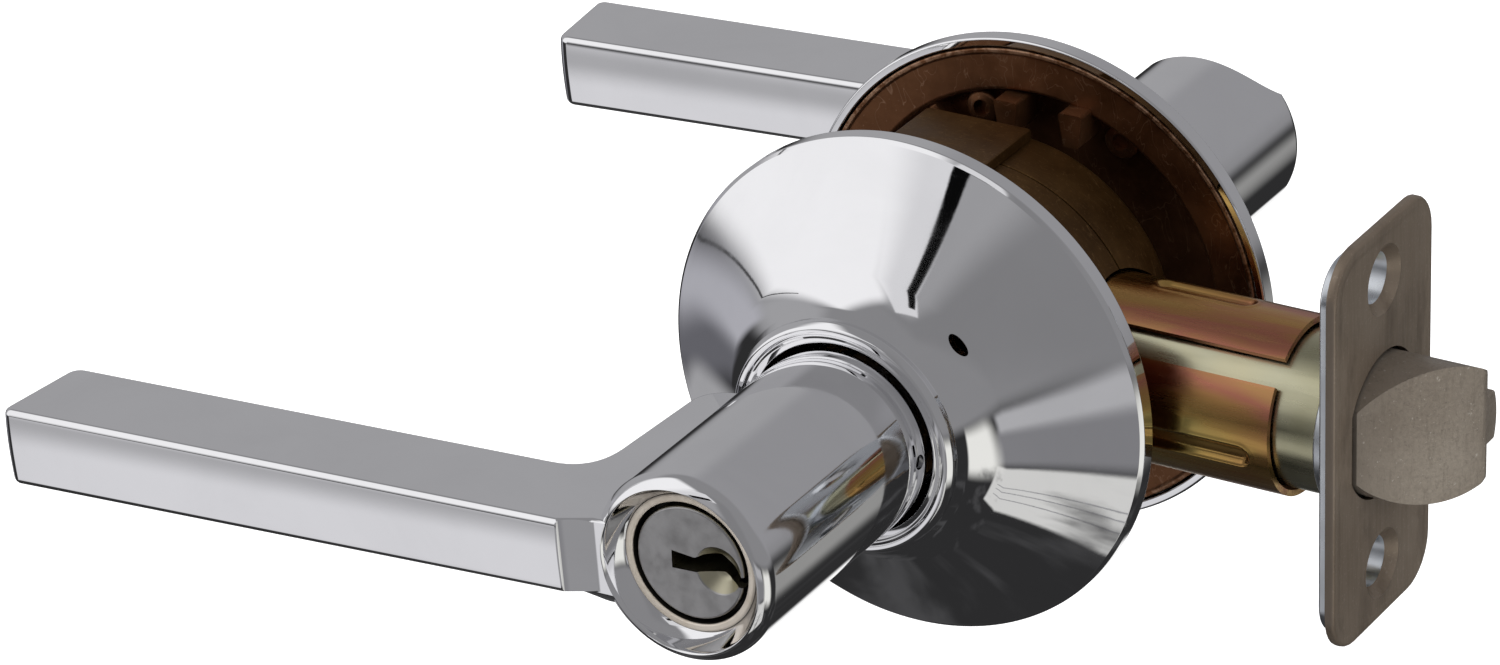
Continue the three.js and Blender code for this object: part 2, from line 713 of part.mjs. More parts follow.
/** The sliding yoke: a back bar, two arms with hooks for the latch tail, a cam post and two lugs. */
function retractor() {
  const flat = [-2, 2];
  const parts = [block([-6.5, -4], flat, [-9, 9])];
  for (const up of [1, -1]) {
    const span = (low, high) => (up > 0 ? [low, high] : [-high, -low]);
    parts.push(block([-6.5, 22.4], flat, span(6, 9)));
    parts.push(block([20, 22.4], flat, span(2.2, 6.5)));
    parts.push(block([8.2, 10.4], flat, span(8.5, 14)));
  }
  parts.push(block([-5, -2.5], flat, [8.5, 9.8]));
  parts.push(block([-5, -2.5], [-5.4, -1], [8.7, 9.8]));
  parts.push(block([-5, -2.5], [-5.4, -2.4], [8.7, 11.2]));
  return parts.map((part) => solid(part)).reduce((whole, part) => whole.add(part));
}

function retractorSpring(z) {
  return coil(1.5, 0.3, -17, 8, 10, 6).rotateZ(-Math.PI / 2).translate(0, 0, z);
}

piece(exterior, "chassis_exterior_half", chassisHalf(-DRUM_SPLIT + 0.1), "castBrown");
piece(interior, "chassis_interior_half", interiorHalf(), "castBrown");
piece(lockset, "chassis_cap", chassisCap(), "castBrown");
piece(lockset, "retractor", retractor(), "zincBright");
piece(lockset, "retractor_spring_upper", retractorSpring(12), "springSteel");
piece(lockset, "retractor_spring_lower", retractorSpring(-12), "springSteel");

// ---------------------------------------------------------------- latch
const faceplateBack = BACKSET - FACEPLATE_THICKNESS;
const backplateFront = faceplateBack - BACKPLATE_GAP;
const backplateBack = backplateFront - 1.3;

/** A countersunk screw hole as the solid to cut away. */
function countersink(z) {
  const outline = [
    [0, BACKSET - 5],
    [FACE_SCREW_HOLE, BACKSET - 5],
    [FACE_SCREW_HOLE, BACKSET - 2.4],
    [FACE_SCREW_HEAD, BACKSET],
    [FACE_SCREW_HEAD, BACKSET + 1],
    [0, BACKSET + 1],
  ];
  return solid(turnedOnX(outline, SMALL)).translate([0, 0, z]);
}

/** A round section about the latch axis with one side cut flat, as a solid from x to x. */
function dSection(radius, flat, from, to, segments = PLAIN) {
  const round = solid(turnedOnX(disc(radius, from, to), segments));
  return round.subtract(solid(block([from - 1, to + 1], [-LARGE, -flat], [-LARGE, LARGE])));
}

function faceplate() {
  const outline = roundedRectangle(FACEPLATE_WIDTH, FACEPLATE_HEIGHT, FACEPLATE_CORNER);
  const opening = dSection(BOLT_RADIUS + 0.5, OPENING_FLAT, faceplateBack - 1, BACKSET + 1);
  return solid(plateOnX(outline, faceplateBack, BACKSET))
    .subtract(opening)
    .subtract(countersink(FACE_SCREW_Z))
    .subtract(countersink(-FACE_SCREW_Z));
}

/** The plate behind the faceplate, with a collar round the tube and a dimple at each screw. */
function backplate() {
  const outline = roundedRectangle(BACKPLATE_WIDTH, BACKPLATE_HEIGHT, BACKPLATE_CORNER);
  const collar = turnedOnX(disc(TUBE_RADIUS + 0.9, backplateBack - 1.6, backplateBack + 0.3));
  const dimple = turnedOnX(
    [
      [0, backplateBack - 1.4],
      [4, backplateBack - 1.4],
      [6, backplateBack + 0.3],
      [0, backplateBack + 0.3],
    ],
    SMALL,
  );
  let plate = solid(plateOnX(outline, backplateBack, backplateFront)).add(solid(collar));
  for (const z of [FACE_SCREW_Z, -FACE_SCREW_Z])
    plate = plate.add(solid(dimple).translate([0, 0, z])).subtract(countersink(z));
  const tubeWay = turnedOnX(disc(TUBE_RADIUS + 0.1, backplateBack - 3, backplateBack + 0.5));
  const boltWay = turnedOnX(disc(BOLT_RADIUS + 0.4, backplateBack - 3, BACKSET));
  return plate.subtract(solid(tubeWay)).subtract(solid(boltWay));
}

function latchTube() {
  const outline = [
    [4.5, TUBE_REAR],
    [TUBE_RADIUS, TUBE_REAR],
    [TUBE_RADIUS, backplateBack + 0.3],
    [TUBE_BORE, backplateBack + 0.3],
    [TUBE_BORE, TUBE_REAR + 1.4],
    [4.5, TUBE_REAR + 1.4],
  ];
  return turnedOnX(outline);
}

/** A half sleeve that fills the door's bore round the tube. */
function latchSleeve(middle) {
  const shape = new THREE.Shape();
  const from = radians(middle - SLEEVE_HALF_ANGLE);
  const to = radians(middle + SLEEVE_HALF_ANGLE);
  shape.absarc(0, 0, SLEEVE_RADIUS, from, to, false);
  shape.absarc(0, 0, SLEEVE_BORE, to, from, true);
  return plateOnX(shape, SLEEVE_REAR, SLEEVE_FRONT, SMALL);
}

/** The bolt: a flatted round bar, bevelled in front and grooved behind for the deadlatch. */
function latchBolt() {
  const tip = BACKSET + THROW;
  const bevel = new THREE.Shape();
  bevel.moveTo(BACKSET + 0.2, -20);
  bevel.lineTo(BACKSET + 0.2, -BOLT_FLAT);
  bevel.quadraticCurveTo(BACKSET + 6.4, -3, tip, BOLT_SLOT - 0.5);
  bevel.lineTo(tip, 20);
  bevel.lineTo(tip + 20, 20);
  bevel.lineTo(tip + 20, -20);
  const wedge = new THREE.ExtrudeGeometry(bevel, { depth: 40, bevelEnabled: false, curveSegments: 8 });
  const groove = block([BOLT_REAR - 1, tip + 1], [BOLT_SLOT, LARGE], [-3.9, 3.9]);
  const back = block([BACKSET + 1, tip + 1], [BOLT_SLOT, LARGE], [-LARGE, LARGE]);
  const socket = turnedOnX(disc(2.6, BOLT_REAR - 1, BOLT_REAR + 4), SMALL);
  return dSection(BOLT_RADIUS, BOLT_FLAT, BOLT_REAR, tip, FINE)
    .subtract(solid(wedge).translate([0, 0, -20]))
    .subtract(solid(groove))
    .subtract(solid(back))
    .subtract(solid(socket));
}

/** The stem that joins the bolt to the retractor's hooks. */
function latchTail() {
  const stem = solid(block([18.5, BOLT_REAR + 3.7], [-1.5, 1.5], [-1.6, 1.6]));
  return stem.add(solid(block([17, 19.6], [-1.8, 1.8], [-5.4, 5.4])));
}

function deadlatchPlunger() {
  const tip = BACKSET + THROW - 0.3;
  const round = turnedOnX(
    [
      [0, tip - 12.5],
      [BOLT_RADIUS - 0.2, tip - 12.5],
      [BOLT_RADIUS - 0.2, tip - 0.8],
      [BOLT_RADIUS - 1, tip],
      [0, tip],
    ],
    FINE,
  );
  return solid(round).intersect(solid(block([0, LARGE], [BOLT_SLOT + 0.3, LARGE], [-3.6, 3.6])));
}

function boltSpring() {
  return coil(5.1, 0.45, TUBE_REAR + 1.5, BOLT_REAR - 0.1, 6, 10).rotateZ(-Math.PI / 2);
}

/** The thin spring behind the deadlatch, between a rear stop in the groove and the plunger. */
function plungerSpring() {
  const end = BACKSET + THROW - 0.3 - 12.6;
  return coil(1, 0.2, BOLT_REAR + 1.7, end, 8, 6).rotateZ(-Math.PI / 2).translate(0, 7.6, 0);
}

/** The stop pin across the rear of the bolt's groove. */
function plungerStop() {
  const round = turnedOnX(disc(BOLT_RADIUS - 0.1, BOLT_REAR + 0.2, BOLT_REAR + 1.5), FINE);
  return solid(round).intersect(solid(block([0, LARGE], [BOLT_SLOT + 0.1, LARGE], [-3.8, 3.8])));
}

piece(lockset, "faceplate", faceplate(), "satinBronze");
piece(lockset, "backplate", backplate(), "zincBright");
piece(lockset, "latch_tube", latchTube(), "zincOlive");
piece(lockset, "latch_sleeve_upper", latchSleeve(SLEEVE_MIDDLES[0]), "zincYellow");
piece(lockset, "latch_sleeve_lower", latchSleeve(SLEEVE_MIDDLES[1]), "zincYellow");
piece(lockset, "latch_bolt", latchBolt(), "steel");
piece(lockset, "latch_tail", latchTail(), "zincBright");
piece(lockset, "deadlatch_plunger", deadlatchPlunger(), "steel");
piece(lockset, "bolt_spring", boltSpring(), "springSteel");
piece(lockset, "plunger_spring", plungerSpring(), "springSteel");
piece(lockset, "plunger_stop", plungerStop(), "steel");

export default lockset;
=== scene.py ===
# The looks of a keyed lever handle lockset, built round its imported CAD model.
# Outlines are in millimetres in the part's frame: Y is the spindle axis, X is the latch axis,
# +X points to the door's edge, -Y to the keyed exterior side and +Z up.
import json
import math

import bmesh
import bpy
from mathutils import Matrix, Vector


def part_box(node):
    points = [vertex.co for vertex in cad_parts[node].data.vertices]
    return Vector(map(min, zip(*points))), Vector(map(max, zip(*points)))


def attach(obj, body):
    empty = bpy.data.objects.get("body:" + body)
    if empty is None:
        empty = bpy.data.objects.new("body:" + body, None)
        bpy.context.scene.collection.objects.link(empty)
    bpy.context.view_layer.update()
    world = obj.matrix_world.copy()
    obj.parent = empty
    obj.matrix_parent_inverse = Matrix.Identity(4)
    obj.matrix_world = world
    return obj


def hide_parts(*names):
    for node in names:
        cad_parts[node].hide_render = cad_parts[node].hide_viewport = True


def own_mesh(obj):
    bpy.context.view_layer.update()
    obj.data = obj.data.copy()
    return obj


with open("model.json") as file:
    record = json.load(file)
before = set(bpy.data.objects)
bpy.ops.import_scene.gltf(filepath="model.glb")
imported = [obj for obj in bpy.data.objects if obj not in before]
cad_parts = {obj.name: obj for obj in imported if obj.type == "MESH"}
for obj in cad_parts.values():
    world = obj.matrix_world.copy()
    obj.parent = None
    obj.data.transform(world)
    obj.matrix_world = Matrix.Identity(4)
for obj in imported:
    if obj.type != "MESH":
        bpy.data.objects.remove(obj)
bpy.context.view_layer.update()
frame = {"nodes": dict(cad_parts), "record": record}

MM = 0.001
FINE = 224  # facets round a polished surface
PLAIN = 96  # facets round any other turned surface
SMALL = 32  # facets round a small hole
ARC_STEP = math.radians(12)  # between the points of a rounded corner
LARGE = 200  # past everything, for cutting tools
FLOOR_HALF = 4000


def box_mm(node):
    low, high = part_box(node)
    return low / MM, high / MM


# ---------------------------------------------------------------- sizes from the frame
rose_low, rose_high = box_mm("exterior_rose")
lever_low, lever_high = box_mm("exterior_lever")
inner_lever_high = box_mm("interior_lever")[1]
ROSE_RADIUS = rose_high.x
SEAT = -rose_high.y
COLLAR_TOP = -rose_low.y
EXTERIOR_FACE = -lever_low.y
INTERIOR_FACE = inner_lever_high.y
HUB_RADIUS = lever_high.x
HUB_REAR = -lever_high.y
PLUG_FACE = -box_mm("key_plug")[0].y
SHELL_REAR = -box_mm("cylinder_shell")[1].y
DRUM_RADIUS = box_mm("chassis_exterior_half")[1].z
faceplate_low, faceplate_high = box_mm("faceplate")
BACKSET = faceplate_high.x
FACEPLATE_BACK = faceplate_low.x
FACEPLATE_HALF_WIDTH = faceplate_high.y
FACEPLATE_HALF_HEIGHT = faceplate_high.z
backplate_high = box_mm("backplate")[1]
BACKPLATE_FRONT = backplate_high.x
BOLT_REAR = box_mm("latch_bolt")[0].x
BOLT_TIP = box_mm("latch_bolt")[1].x
TUBE_REAR = box_mm("latch_tube")[0].x

# ---------------------------------------------------------------- sizes of the parts' details
LEVER_REACH = 102.4  # from the spindle axis to the rear corner of the arm's tip
TIP_SLANT = 1.7  # how much further the tip's front corner reaches
TIP_DROP = 0.7  # how much deeper the arm is at its tip
ARM_HEIGHT = 10.4
ARM_DEPTH = 15
ARM_CORNER = 2.2
FRONT_CORNER = 1.5
ARM_EDGE = 0.85  # rounding along the arm's edges
DROOP = math.radians(3.15)  # both levers rest a little below level
TURN = math.radians(45)  # how far a lever turns down
NECK_X = 16.5  # the end of the exterior arm's raised face
BEZEL = 76.2  # latch axis to the crest of the ring round the key cylinder
HUB_BORE = 11.7
RING_RADIUS = 9.4  # the cylinder's brass rim
BOLT_RADIUS = 9.7
BOLT_FLAT = 8.2  # spindle-side flat on the bolt, from the latch axis
BOLT_BACK = 5.8  # the bolt's far side, cut back behind the deadlatch
OPENING_RADIUS = 10.2
OPENING_FLAT = 9
TUBE_RADIUS = 10.8
SLEEVE_RADIUS = 12.2
SLEEVE_BORE = 11.25
BEAD_DEPTH = 0.68
PLATE_HOLE = 20.64  # height of the faceplate's screw holes above and below the latch axis
RELEASE_HOLE = 37.85  # the levers' release holes, from the latch axis
FLARE_ANGLE = math.radians(215)  # where the arm's flare meets the hub
NECK_STEP = 0.62  # how far the dished neck starts behind the arm's face
SCREW_CIRCLE = 29
SCREW_ANGLES = (240, 300)


# ---------------------------------------------------------------- mesh helpers
def rounded(points):
    """A closed 2-D outline whose points are (a, b) or (a, b, radius of the corner there)."""
    made = []
    for i, point in enumerate(points):
        here = Vector(point[:2])
        if len(point) < 3:
            made.append(here)
            continue
        back = Vector(points[i - 1][:2]) - here
        ahead = Vector(points[(i + 1) % len(points)][:2]) - here
        half = back.angle(ahead) / 2
        reach = min(point[2] / math.tan(half), 0.49 * min(back.length, ahead.length))
        radius = reach * math.tan(half)
        back.normalize()
        ahead.normalize()
        centre = here + (back + ahead).normalized() * (radius / math.sin(half))
        start = here + back * reach - centre
        end = here + ahead * reach - centre
        sweep = math.copysign(math.pi - 2 * half, start.x * end.y - start.y * end.x)
        steps = max(2, math.ceil(abs(sweep) / ARC_STEP))
        for k in range(steps + 1):
            turn = sweep * k / steps
            cos, sin = math.cos(turn), math.sin(turn)
            made.append(centre + Vector((start.x * cos - start.y * sin, start.x * sin + start.y * cos)))
    return made


def arc(centre, radius, start, end, steps=8):
    """Points on an arc, in degrees."""
    angles = [math.radians(start + (end - start) * k / steps) for k in range(steps + 1)]
    return [(centre[0] + radius * math.cos(t), centre[1] + radius * math.sin(t)) for t in angles]


def curve(start, middle, end, steps=8):
    """Points on a quadratic curve, without its two ends."""

    def at(t, s, m, e):
        return (1 - t) ** 2 * s + 2 * t * (1 - t) * m + t * t * e

    return [tuple(at(k / steps, *ends) for ends in zip(start, middle, end)) for k in range(1, steps)]


def new_object(name, mesh_builder):
    """An object in metres from a bmesh in millimetres, with its faces outwards."""
    bmesh.ops.remove_doubles(mesh_builder, verts=mesh_builder.verts, dist=1e-5)
    bmesh.ops.recalc_face_normals(mesh_builder, faces=mesh_builder.faces)
    bmesh.ops.scale(mesh_builder, vec=(MM, MM, MM), verts=mesh_builder.verts)
    mesh = bpy.data.meshes.new(name)
    mesh_builder.to_mesh(mesh)
    mesh_builder.free()
    made = bpy.data.objects.new(name, mesh)
    bpy.context.scene.collection.objects.link(made)
    return made


def turned(outline, side=1, steps=PLAIN, along="Y"):
    """A surface turned round Y or X from its (radius, distance along the axis) outline, its corners
    rounded where they give a radius."""
    if any(len(point) > 2 for point in outline):
        outline = rounded(outline)
    builder = bmesh.new()
    rings = []
    for r, h in outline:
        if r < 1e-6:
            spots = [(0, 0)]
        else:
            angles = [2 * math.pi * k / steps for k in range(steps)]
            spots = [(r * math.cos(t), r * math.sin(t)) for t in angles]
        if along == "Y":
            rings.append([builder.verts.new((a, side * h, b)) for a, b in spots])
        else:
            rings.append([builder.verts.new((h, a, b)) for a, b in spots])
    for i, here in enumerate(rings):
        there = rings[(i + 1) % len(rings)]
        if len(here) == 1 and len(there) == 1:
            continue
        for k in range(steps):
            corners = [here[k % len(here)], here[(k + 1) % len(here)]]
            corners += [there[(k + 1) % len(there)], there[k % len(there)]]
            builder.faces.new(list(dict.fromkeys(corners)))
    return new_object("turned", builder)


def rod(radius, low, high, side=1, steps=PLAIN, along="Y"):
    return turned([(0, low), (radius, low), (radius, high), (0, high)], side, steps, along)


def skin(builder, rings):
    """Closes a row of rings into one solid."""
    builder.faces.new(rings[0])
    builder.faces.new(rings[-1])
    for here, there in zip(rings, rings[1:]):
        for k in range(len(here)):
            builder.faces.new((here[k - 1], here[k], there[k], there[k - 1]))


def inset(outline, distance):
    """The outline moved inwards by a distance. The outline runs anticlockwise."""
    moved = []
    for i, here in enumerate(outline):
        back = (here - outline[i - 1]).normalized()
        ahead = (outline[(i + 1) % len(outline)] - here).normalized()
        normals = [Vector((-v.y, v.x)) for v in (back, ahead)]
        moved.append(here + (normals[0] + normals[1]) * (distance / (1 + normals[0].dot(normals[1]))))
    return moved


def anticlockwise(outline):
    area = sum(p.x * outline[i - 1].y - p.y * outline[i - 1].x for i, p in enumerate(outline))
    return outline if area < 0 else outline[::-1]


def without_repeats(points):
    points = [Vector(p[:2]) for p in points]
    return [p for i, p in enumerate(points) if (p - points[i - 1]).length > 1e-4]


def slab(outline, low, high, place, edges=(0, 0), steps=4, crown=0.0):
    """A flat shape of a given thickness with both its rims rounded and its sides swelling by the crown.
    place maps (a, b, height) to a point. Corners that give a radius are rounded."""
    outline = anticlockwise(without_repeats(rounded(outline)))
    levels = []
    for k in range(steps + 1):
        turn = math.pi / 2 * k / steps
        levels.append((edges[0] * (1 - math.sin(turn)), low + edges[0] * (1 - math.cos(turn))))
    if crown:
        first, last = low + edges[0], high - edges[1]
        levels += [(0, first + (last - first) * k / 16) for k in range(1, 16)]
    for k in range(steps + 1):
        turn = math.pi / 2 * k / steps
        levels.append((edges[1] * (1 - math.cos(turn)), high - edges[1] * (1 - math.sin(turn))))
    middle = (low + high) / 2
    levels = [(d + crown * ((h - middle) / (high - middle)) ** 2, h) for d, h in levels]
    builder = bmesh.new()
    rings = []
    for distance, height in levels:
        if rings and abs(rings[-1][1] - height) < 1e-6:
            continue
        ring = [builder.verts.new(place(p.x, p.y, height)) for p in inset(outline, distance)]
        rings.append((ring, height))
    skin(builder, [ring for ring, _ in rings])
    return new_object("slab", builder)


def across_x(a, b, height):
    return (height, a, b)


def across_y(side):
    return lambda a, b, height: (a, side * height, b)


def across_z(side):
    return lambda a, b, height: (a, side * b, height)


def block(x, y, z, edge=0.0):
    outline = [(x[0], y[0]), (x[1], y[0]), (x[1], y[1]), (x[0], y[1])]
    if edge:
        outline = [(a, b, edge * 1.5) for a, b in outline]
    return slab(outline, z[0], z[1], across_z(1), (edge, edge), 2)


def settle(piece):
    """Applies a piece's modifiers."""
    graph = bpy.context.evaluated_depsgraph_get()
    mesh = bpy.data.meshes.new_from_object(piece.evaluated_get(graph), depsgraph=graph)
    old = piece.data
    piece.modifiers.clear()
    piece.data = mesh
    bpy.data.meshes.remove(old)
    return piece


def combine(piece, tool, operation):
    modifier = piece.modifiers.new("combine", "BOOLEAN")
    modifier.operation = operation
    modifier.solver = "MANIFOLD"
    modifier.object = tool
    settle(piece)
    bpy.data.objects.remove(tool)
    return piece


def cut(piece, *tools):
    for tool in tools:
        combine(piece, tool, "DIFFERENCE")
    return piece


def join(piece, *others):
    for other in others:
        combine(piece, other, "UNION")
    return piece


def moved(piece, x=0.0, y=0.0, z=0.0):
    piece.data.transform(Matrix.Translation((x * MM, y * MM, z * MM)))
    return piece


def spun(piece, angle, axis="Y"):
    piece.data.transform(Matrix.Rotation(angle, 4, axis))
    return piece


def soften(piece, width, angle):
    modifier = piece.modifiers.new("soften", "BEVEL")
    modifier.width = width * MM
    modifier.segments = 3
    modifier.limit_method = "ANGLE"
    modifier.angle_limit = math.radians(angle)
    modifier.harden_normals = False
    return settle(piece)


def smooth(piece, angle):
    """Shades a piece smooth between edges sharper than the angle, flat faces staying flat."""
    for polygon in piece.data.polygons:
        polygon.use_smooth = True
    piece.data.set_sharp_from_angle(angle=math.radians(angle))
    modifier = piece.modifiers.new("flats", "WEIGHTED_NORMAL")
    modifier.keep_sharp = True
    modifier.weight = 100
    return settle(piece)


def finished(piece, name, material, body, slot, *nodes, angle=35):
    """Names a piece, gives it its finish and hangs it on its body in place of its CAD nodes."""
    smooth(piece, angle)
    piece.name = name
    piece.data.name = name
    piece.data.materials.clear()
    piece.data.materials.append(material)
    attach(piece, body)
    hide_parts(*nodes)
    return piece


# ---------------------------------------------------------------- material helpers
class Graph:
    """Short calls that add linked nodes to a shader tree."""

    def __init__(self, tree):
        self.tree = tree

    def feed(self, socket, value):
        if isinstance(value, bpy.types.NodeSocket):
            self.tree.links.new(value, socket)
        elif socket.type == "RGBA" and len(value) == 3:
            socket.default_value = (*value, 1)
        else:
            socket.default_value = value

    def node(self, kind, inputs, output=None, **settings):
        """Adds a node, feeds its inputs by name or number and gives one of its outputs, or all."""
        node = self.tree.nodes.new("ShaderNode" + kind)
        for key, value in settings.items():
            setattr(node, key, value)
        for key, value in inputs.items():
            self.feed(node.inputs[key], value)
        return node.outputs if output is None else node.outputs[output]

    def span(self, value, low, high, to_low=0.0, to_high=1.0):
        inputs = dict(enumerate((value, low, high, to_low, to_high)))
        return self.node("MapRange", inputs, "Result", interpolation_type="SMOOTHSTEP")

    def math(self, operation, a, b=0.0):
        return self.node("Math", {0: a, 1: b}, "Value", operation=operation)

    def mix(self, share, a, b):
        return self.node("Mix", {0: share, 6: a, 7: b}, 2, data_type="RGBA")


class Nodes(Graph):
    """A material's nodes."""

    def __init__(self, name):
        self.material = bpy.data.materials.new(name)
        self.material.use_nodes = True
        super().__init__(self.material.node_tree)
        self.shader = self.tree.nodes["Principled BSDF"]
        self.place = self.node("TexCoord", {}, "Object")

    def stretched(self, scale):
        return self.node("Mapping", {"Vector": self.place, "Scale": scale}, "Vector")

    def noise(self, scale, detail=3.0, roughness=0.55, place=None, distortion=0.0):
        inputs = {"Vector": place or self.place, "Scale": scale, "Detail": detail}
        inputs.update({"Roughness": roughness, "Distortion": distortion})
        return self.node("TexNoise", inputs, "Fac")

    def ramp(self, value, *stops):
        node = self.tree.nodes.new("ShaderNodeValToRGB")
        points = node.color_ramp.elements
        while len(points) < len(stops):
            points.new(0.5)
        for point, (position, colour) in zip(points, stops):
            point.position = position
            point.color = (*colour, 1)
        self.feed(node.inputs["Fac"], value)
        return node.outputs["Color"]

    def bump(self, height, strength, distance, normal=None):
        inputs = {"Height": height, "Strength": strength, "Distance": distance * MM}
        if normal is not None:
            inputs["Normal"] = normal
        return self.node("Bump", inputs, "Normal")

    def axes(self):
        return self.node("SeparateXYZ", {0: self.place})

    def radius(self, a, b):
        """Distance from an axis, in metres, from two coordinates."""
        squares = self.math("ADD", self.math("MULTIPLY", a, a), self.math("MULTIPLY", b, b))
        return self.math("SQRT", squares)

    def done(self, colour, roughness, normal=None, **sockets):
        sockets.update({"Base Color": colour, "Roughness": roughness})
        if normal is not None:
            sockets["Normal"] = normal
        for name, value in sockets.items():
            self.feed(self.shader.inputs[name.replace("_", " ")], value)
        return self.material


def polished_chrome():
    """Bright plating over a cast body: slight waves, faint smears and hairline wear."""
    n = Nodes("polished_chrome")
    smears = n.noise(55, 4, 0.6, distortion=0.6)
    hairs = n.noise(900, 2, 0.5, place=n.stretched((0.12, 1, 1)))
    wear = n.span(hairs, 0.62, 0.8, 0.0, 0.03)
    roughness = n.math("ADD", n.span(smears, 0.35, 0.8, 0.02, 0.075), wear)
    colour = n.mix(n.span(smears, 0.3, 0.8), (0.91, 0.91, 0.92), (0.87, 0.87, 0.88))
    waves = n.bump(n.noise(38, 2, 0.4), 0.10, 0.25)
    pits = n.bump(n.noise(1500, 2, 0.5), 0.03, 0.02, waves)
    return n.done(colour, roughness, pits, Metallic=1.0)


def cast_zinc(name, dark, middle, light, worn):
    """Dark passivated zinc casting with a sandy skin, worn to the metal on the plates' rims."""
    n = Nodes(name)
    clouds = n.noise(90, 5, 0.6)
    grains = n.noise(1400, 3, 0.6)
    colour = n.ramp(clouds, (0.3, dark), (0.55, middle), (0.8, light))
    colour = n.mix(n.span(grains, 0.62, 0.78, 0, 0.4), colour, worn)
    x, y, z = n.axes()
    rim = n.span(n.radius(x, z), 0.0329, 0.0335)
    rubbed = n.math("MULTIPLY", rim, n.span(n.noise(900, 4, 0.65), 0.4, 0.6, 0, 0.8))
    colour = n.mix(rubbed, colour, worn)
    drift = n.noise(160, 3, 0.6, place=n.stretched((1, 4, 0.5)), distortion=1.2)
    scratch = n.math("MULTIPLY", n.span(drift, 0.492, 0.5), n.span(drift, 0.508, 0.5))
    colour = n.mix(n.math("MULTIPLY", scratch, 0.35), colour, worn)
    roughness = n.span(clouds, 0.3, 0.8, 0.30, 0.50)
    skin = n.bump(grains, 0.3, 0.06)
    skin = n.bump(n.noise(260, 3, 0.6), 0.25, 0.15, skin)
    return n.done(colour, roughness, skin, Metallic=0.88)


def yellow_zinc():
    """Yellow chromate on pressed steel: gold drifting to pink and green, with rolling streaks."""
    n = Nodes("yellow_zinc")
    drift = n.noise(62, 3, 0.5, place=n.stretched((0.45, 1, 1)), distortion=0.5)
    fine = n.noise(520, 4, 0.6, place=n.stretched((0.08, 1, 1)))
    film = n.math("ADD", n.math("MULTIPLY", drift, 0.86), n.math("MULTIPLY", fine, 0.14))
    colour = n.ramp(
        film, (0.3, (0.34, 0.34, 0.12)), (0.41, (0.56, 0.36, 0.11)), (0.51, (0.52, 0.28, 0.1)),
        (0.57, (0.52, 0.2, 0.13)), (0.63, (0.54, 0.29, 0.12)), (0.76, (0.4, 0.36, 0.14)),
    )
    roughness = n.span(fine, 0.3, 0.75, 0.2, 0.36)
    normal = n.bump(fine, 0.12, 0.03)
    return n.done(colour, roughness, normal, Metallic=1.0)


def olive_zinc():
    """The latch tube's paler plating, rubbed along its length."""
    n = Nodes("olive_zinc")
    streaks = n.noise(420, 4, 0.6, place=n.stretched((0.1, 1, 1)))
    clouds = n.noise(70, 3, 0.5)
    colour = n.ramp(
        clouds, (0.3, (0.42, 0.4, 0.25)), (0.55, (0.56, 0.54, 0.38)), (0.75, (0.6, 0.55, 0.36)),
    )
    colour = n.mix(n.span(streaks, 0.62, 0.74, 0, 0.4), colour, (0.24, 0.22, 0.15))
    roughness = n.span(streaks, 0.3, 0.8, 0.2, 0.4)
    return n.done(colour, roughness, n.bump(streaks, 0.1, 0.03), Metallic=1.0)


def satin_nickel():
    """Warm grey nickel, brushed lengthwise, with a fine speckle and lighter rubbed spots."""
    n = Nodes("satin_nickel")
    brush = n.noise(1700, 3, 0.6, place=n.stretched((1, 1, 0.06)))
    speckle = n.noise(2600, 2, 0.6)
    clouds = n.noise(48, 4, 0.55)
    colour = n.ramp(
        clouds, (0.3, (0.178, 0.138, 0.102)), (0.6, (0.228, 0.183, 0.14)), (0.8, (0.3, 0.25, 0.2)),
    )
    colour = n.mix(n.span(speckle, 0.58, 0.72, 0, 0.25), colour, (0.42, 0.36, 0.31))
    stains = n.noise(150, 5, 0.65, place=n.stretched((1, 1, 0.4)))
    colour = n.mix(n.span(stains, 0.5, 0.68, 0, 0.5), colour, (0.10, 0.076, 0.056))
    x, y, z = n.axes()
    edge = n.span(n.math("ABSOLUTE", y), 0.01402, 0.01424)
    colour = n.mix(n.math("MULTIPLY", edge, 0.75), colour, (0.16, 0.13, 0.105))
    roughness = n.math("MAXIMUM", n.span(brush, 0.3, 0.7, 0.3, 0.44), n.math("MULTIPLY", edge, 0.55))
    normal = n.bump(speckle, 0.12, 0.02, n.bump(brush, 0.14, 0.03))
    return n.done(colour, roughness, normal, Metallic=0.72)


def sintered_steel():
    """The bolt: grey-brown pressed powder metal with a sanded face."""
    n = Nodes("sintered_steel")
    grain = n.noise(2200, 4, 0.65)
    brush = n.noise(1200, 3, 0.6, place=n.stretched((0.12, 1, 1)))
    clouds = n.noise(80, 4, 0.6)
    colour = n.ramp(clouds, (0.3, (0.225, 0.19, 0.155)), (0.7, (0.31, 0.27, 0.225)))
    colour = n.mix(n.span(grain, 0.6, 0.74, 0, 0.35), colour, (0.12, 0.10, 0.08))
    colour = n.mix(n.span(n.noise(1500, 3, 0.6), 0.64, 0.72, 0, 0.6), colour, (0.5, 0.46, 0.41))
    streaks = n.noise(1900, 4, 0.65, place=n.stretched((1, 1, 0.15)))
    colour = n.mix(n.span(streaks, 0.5, 0.66, 0, 0.22), colour, (0.13, 0.108, 0.085))
    roughness = n.span(grain, 0.3, 0.7, 0.32, 0.48)
    normal = n.bump(grain, 0.4, 0.05, n.bump(brush, 0.4, 0.06))
    return n.done(colour, roughness, normal, Metallic=0.75)


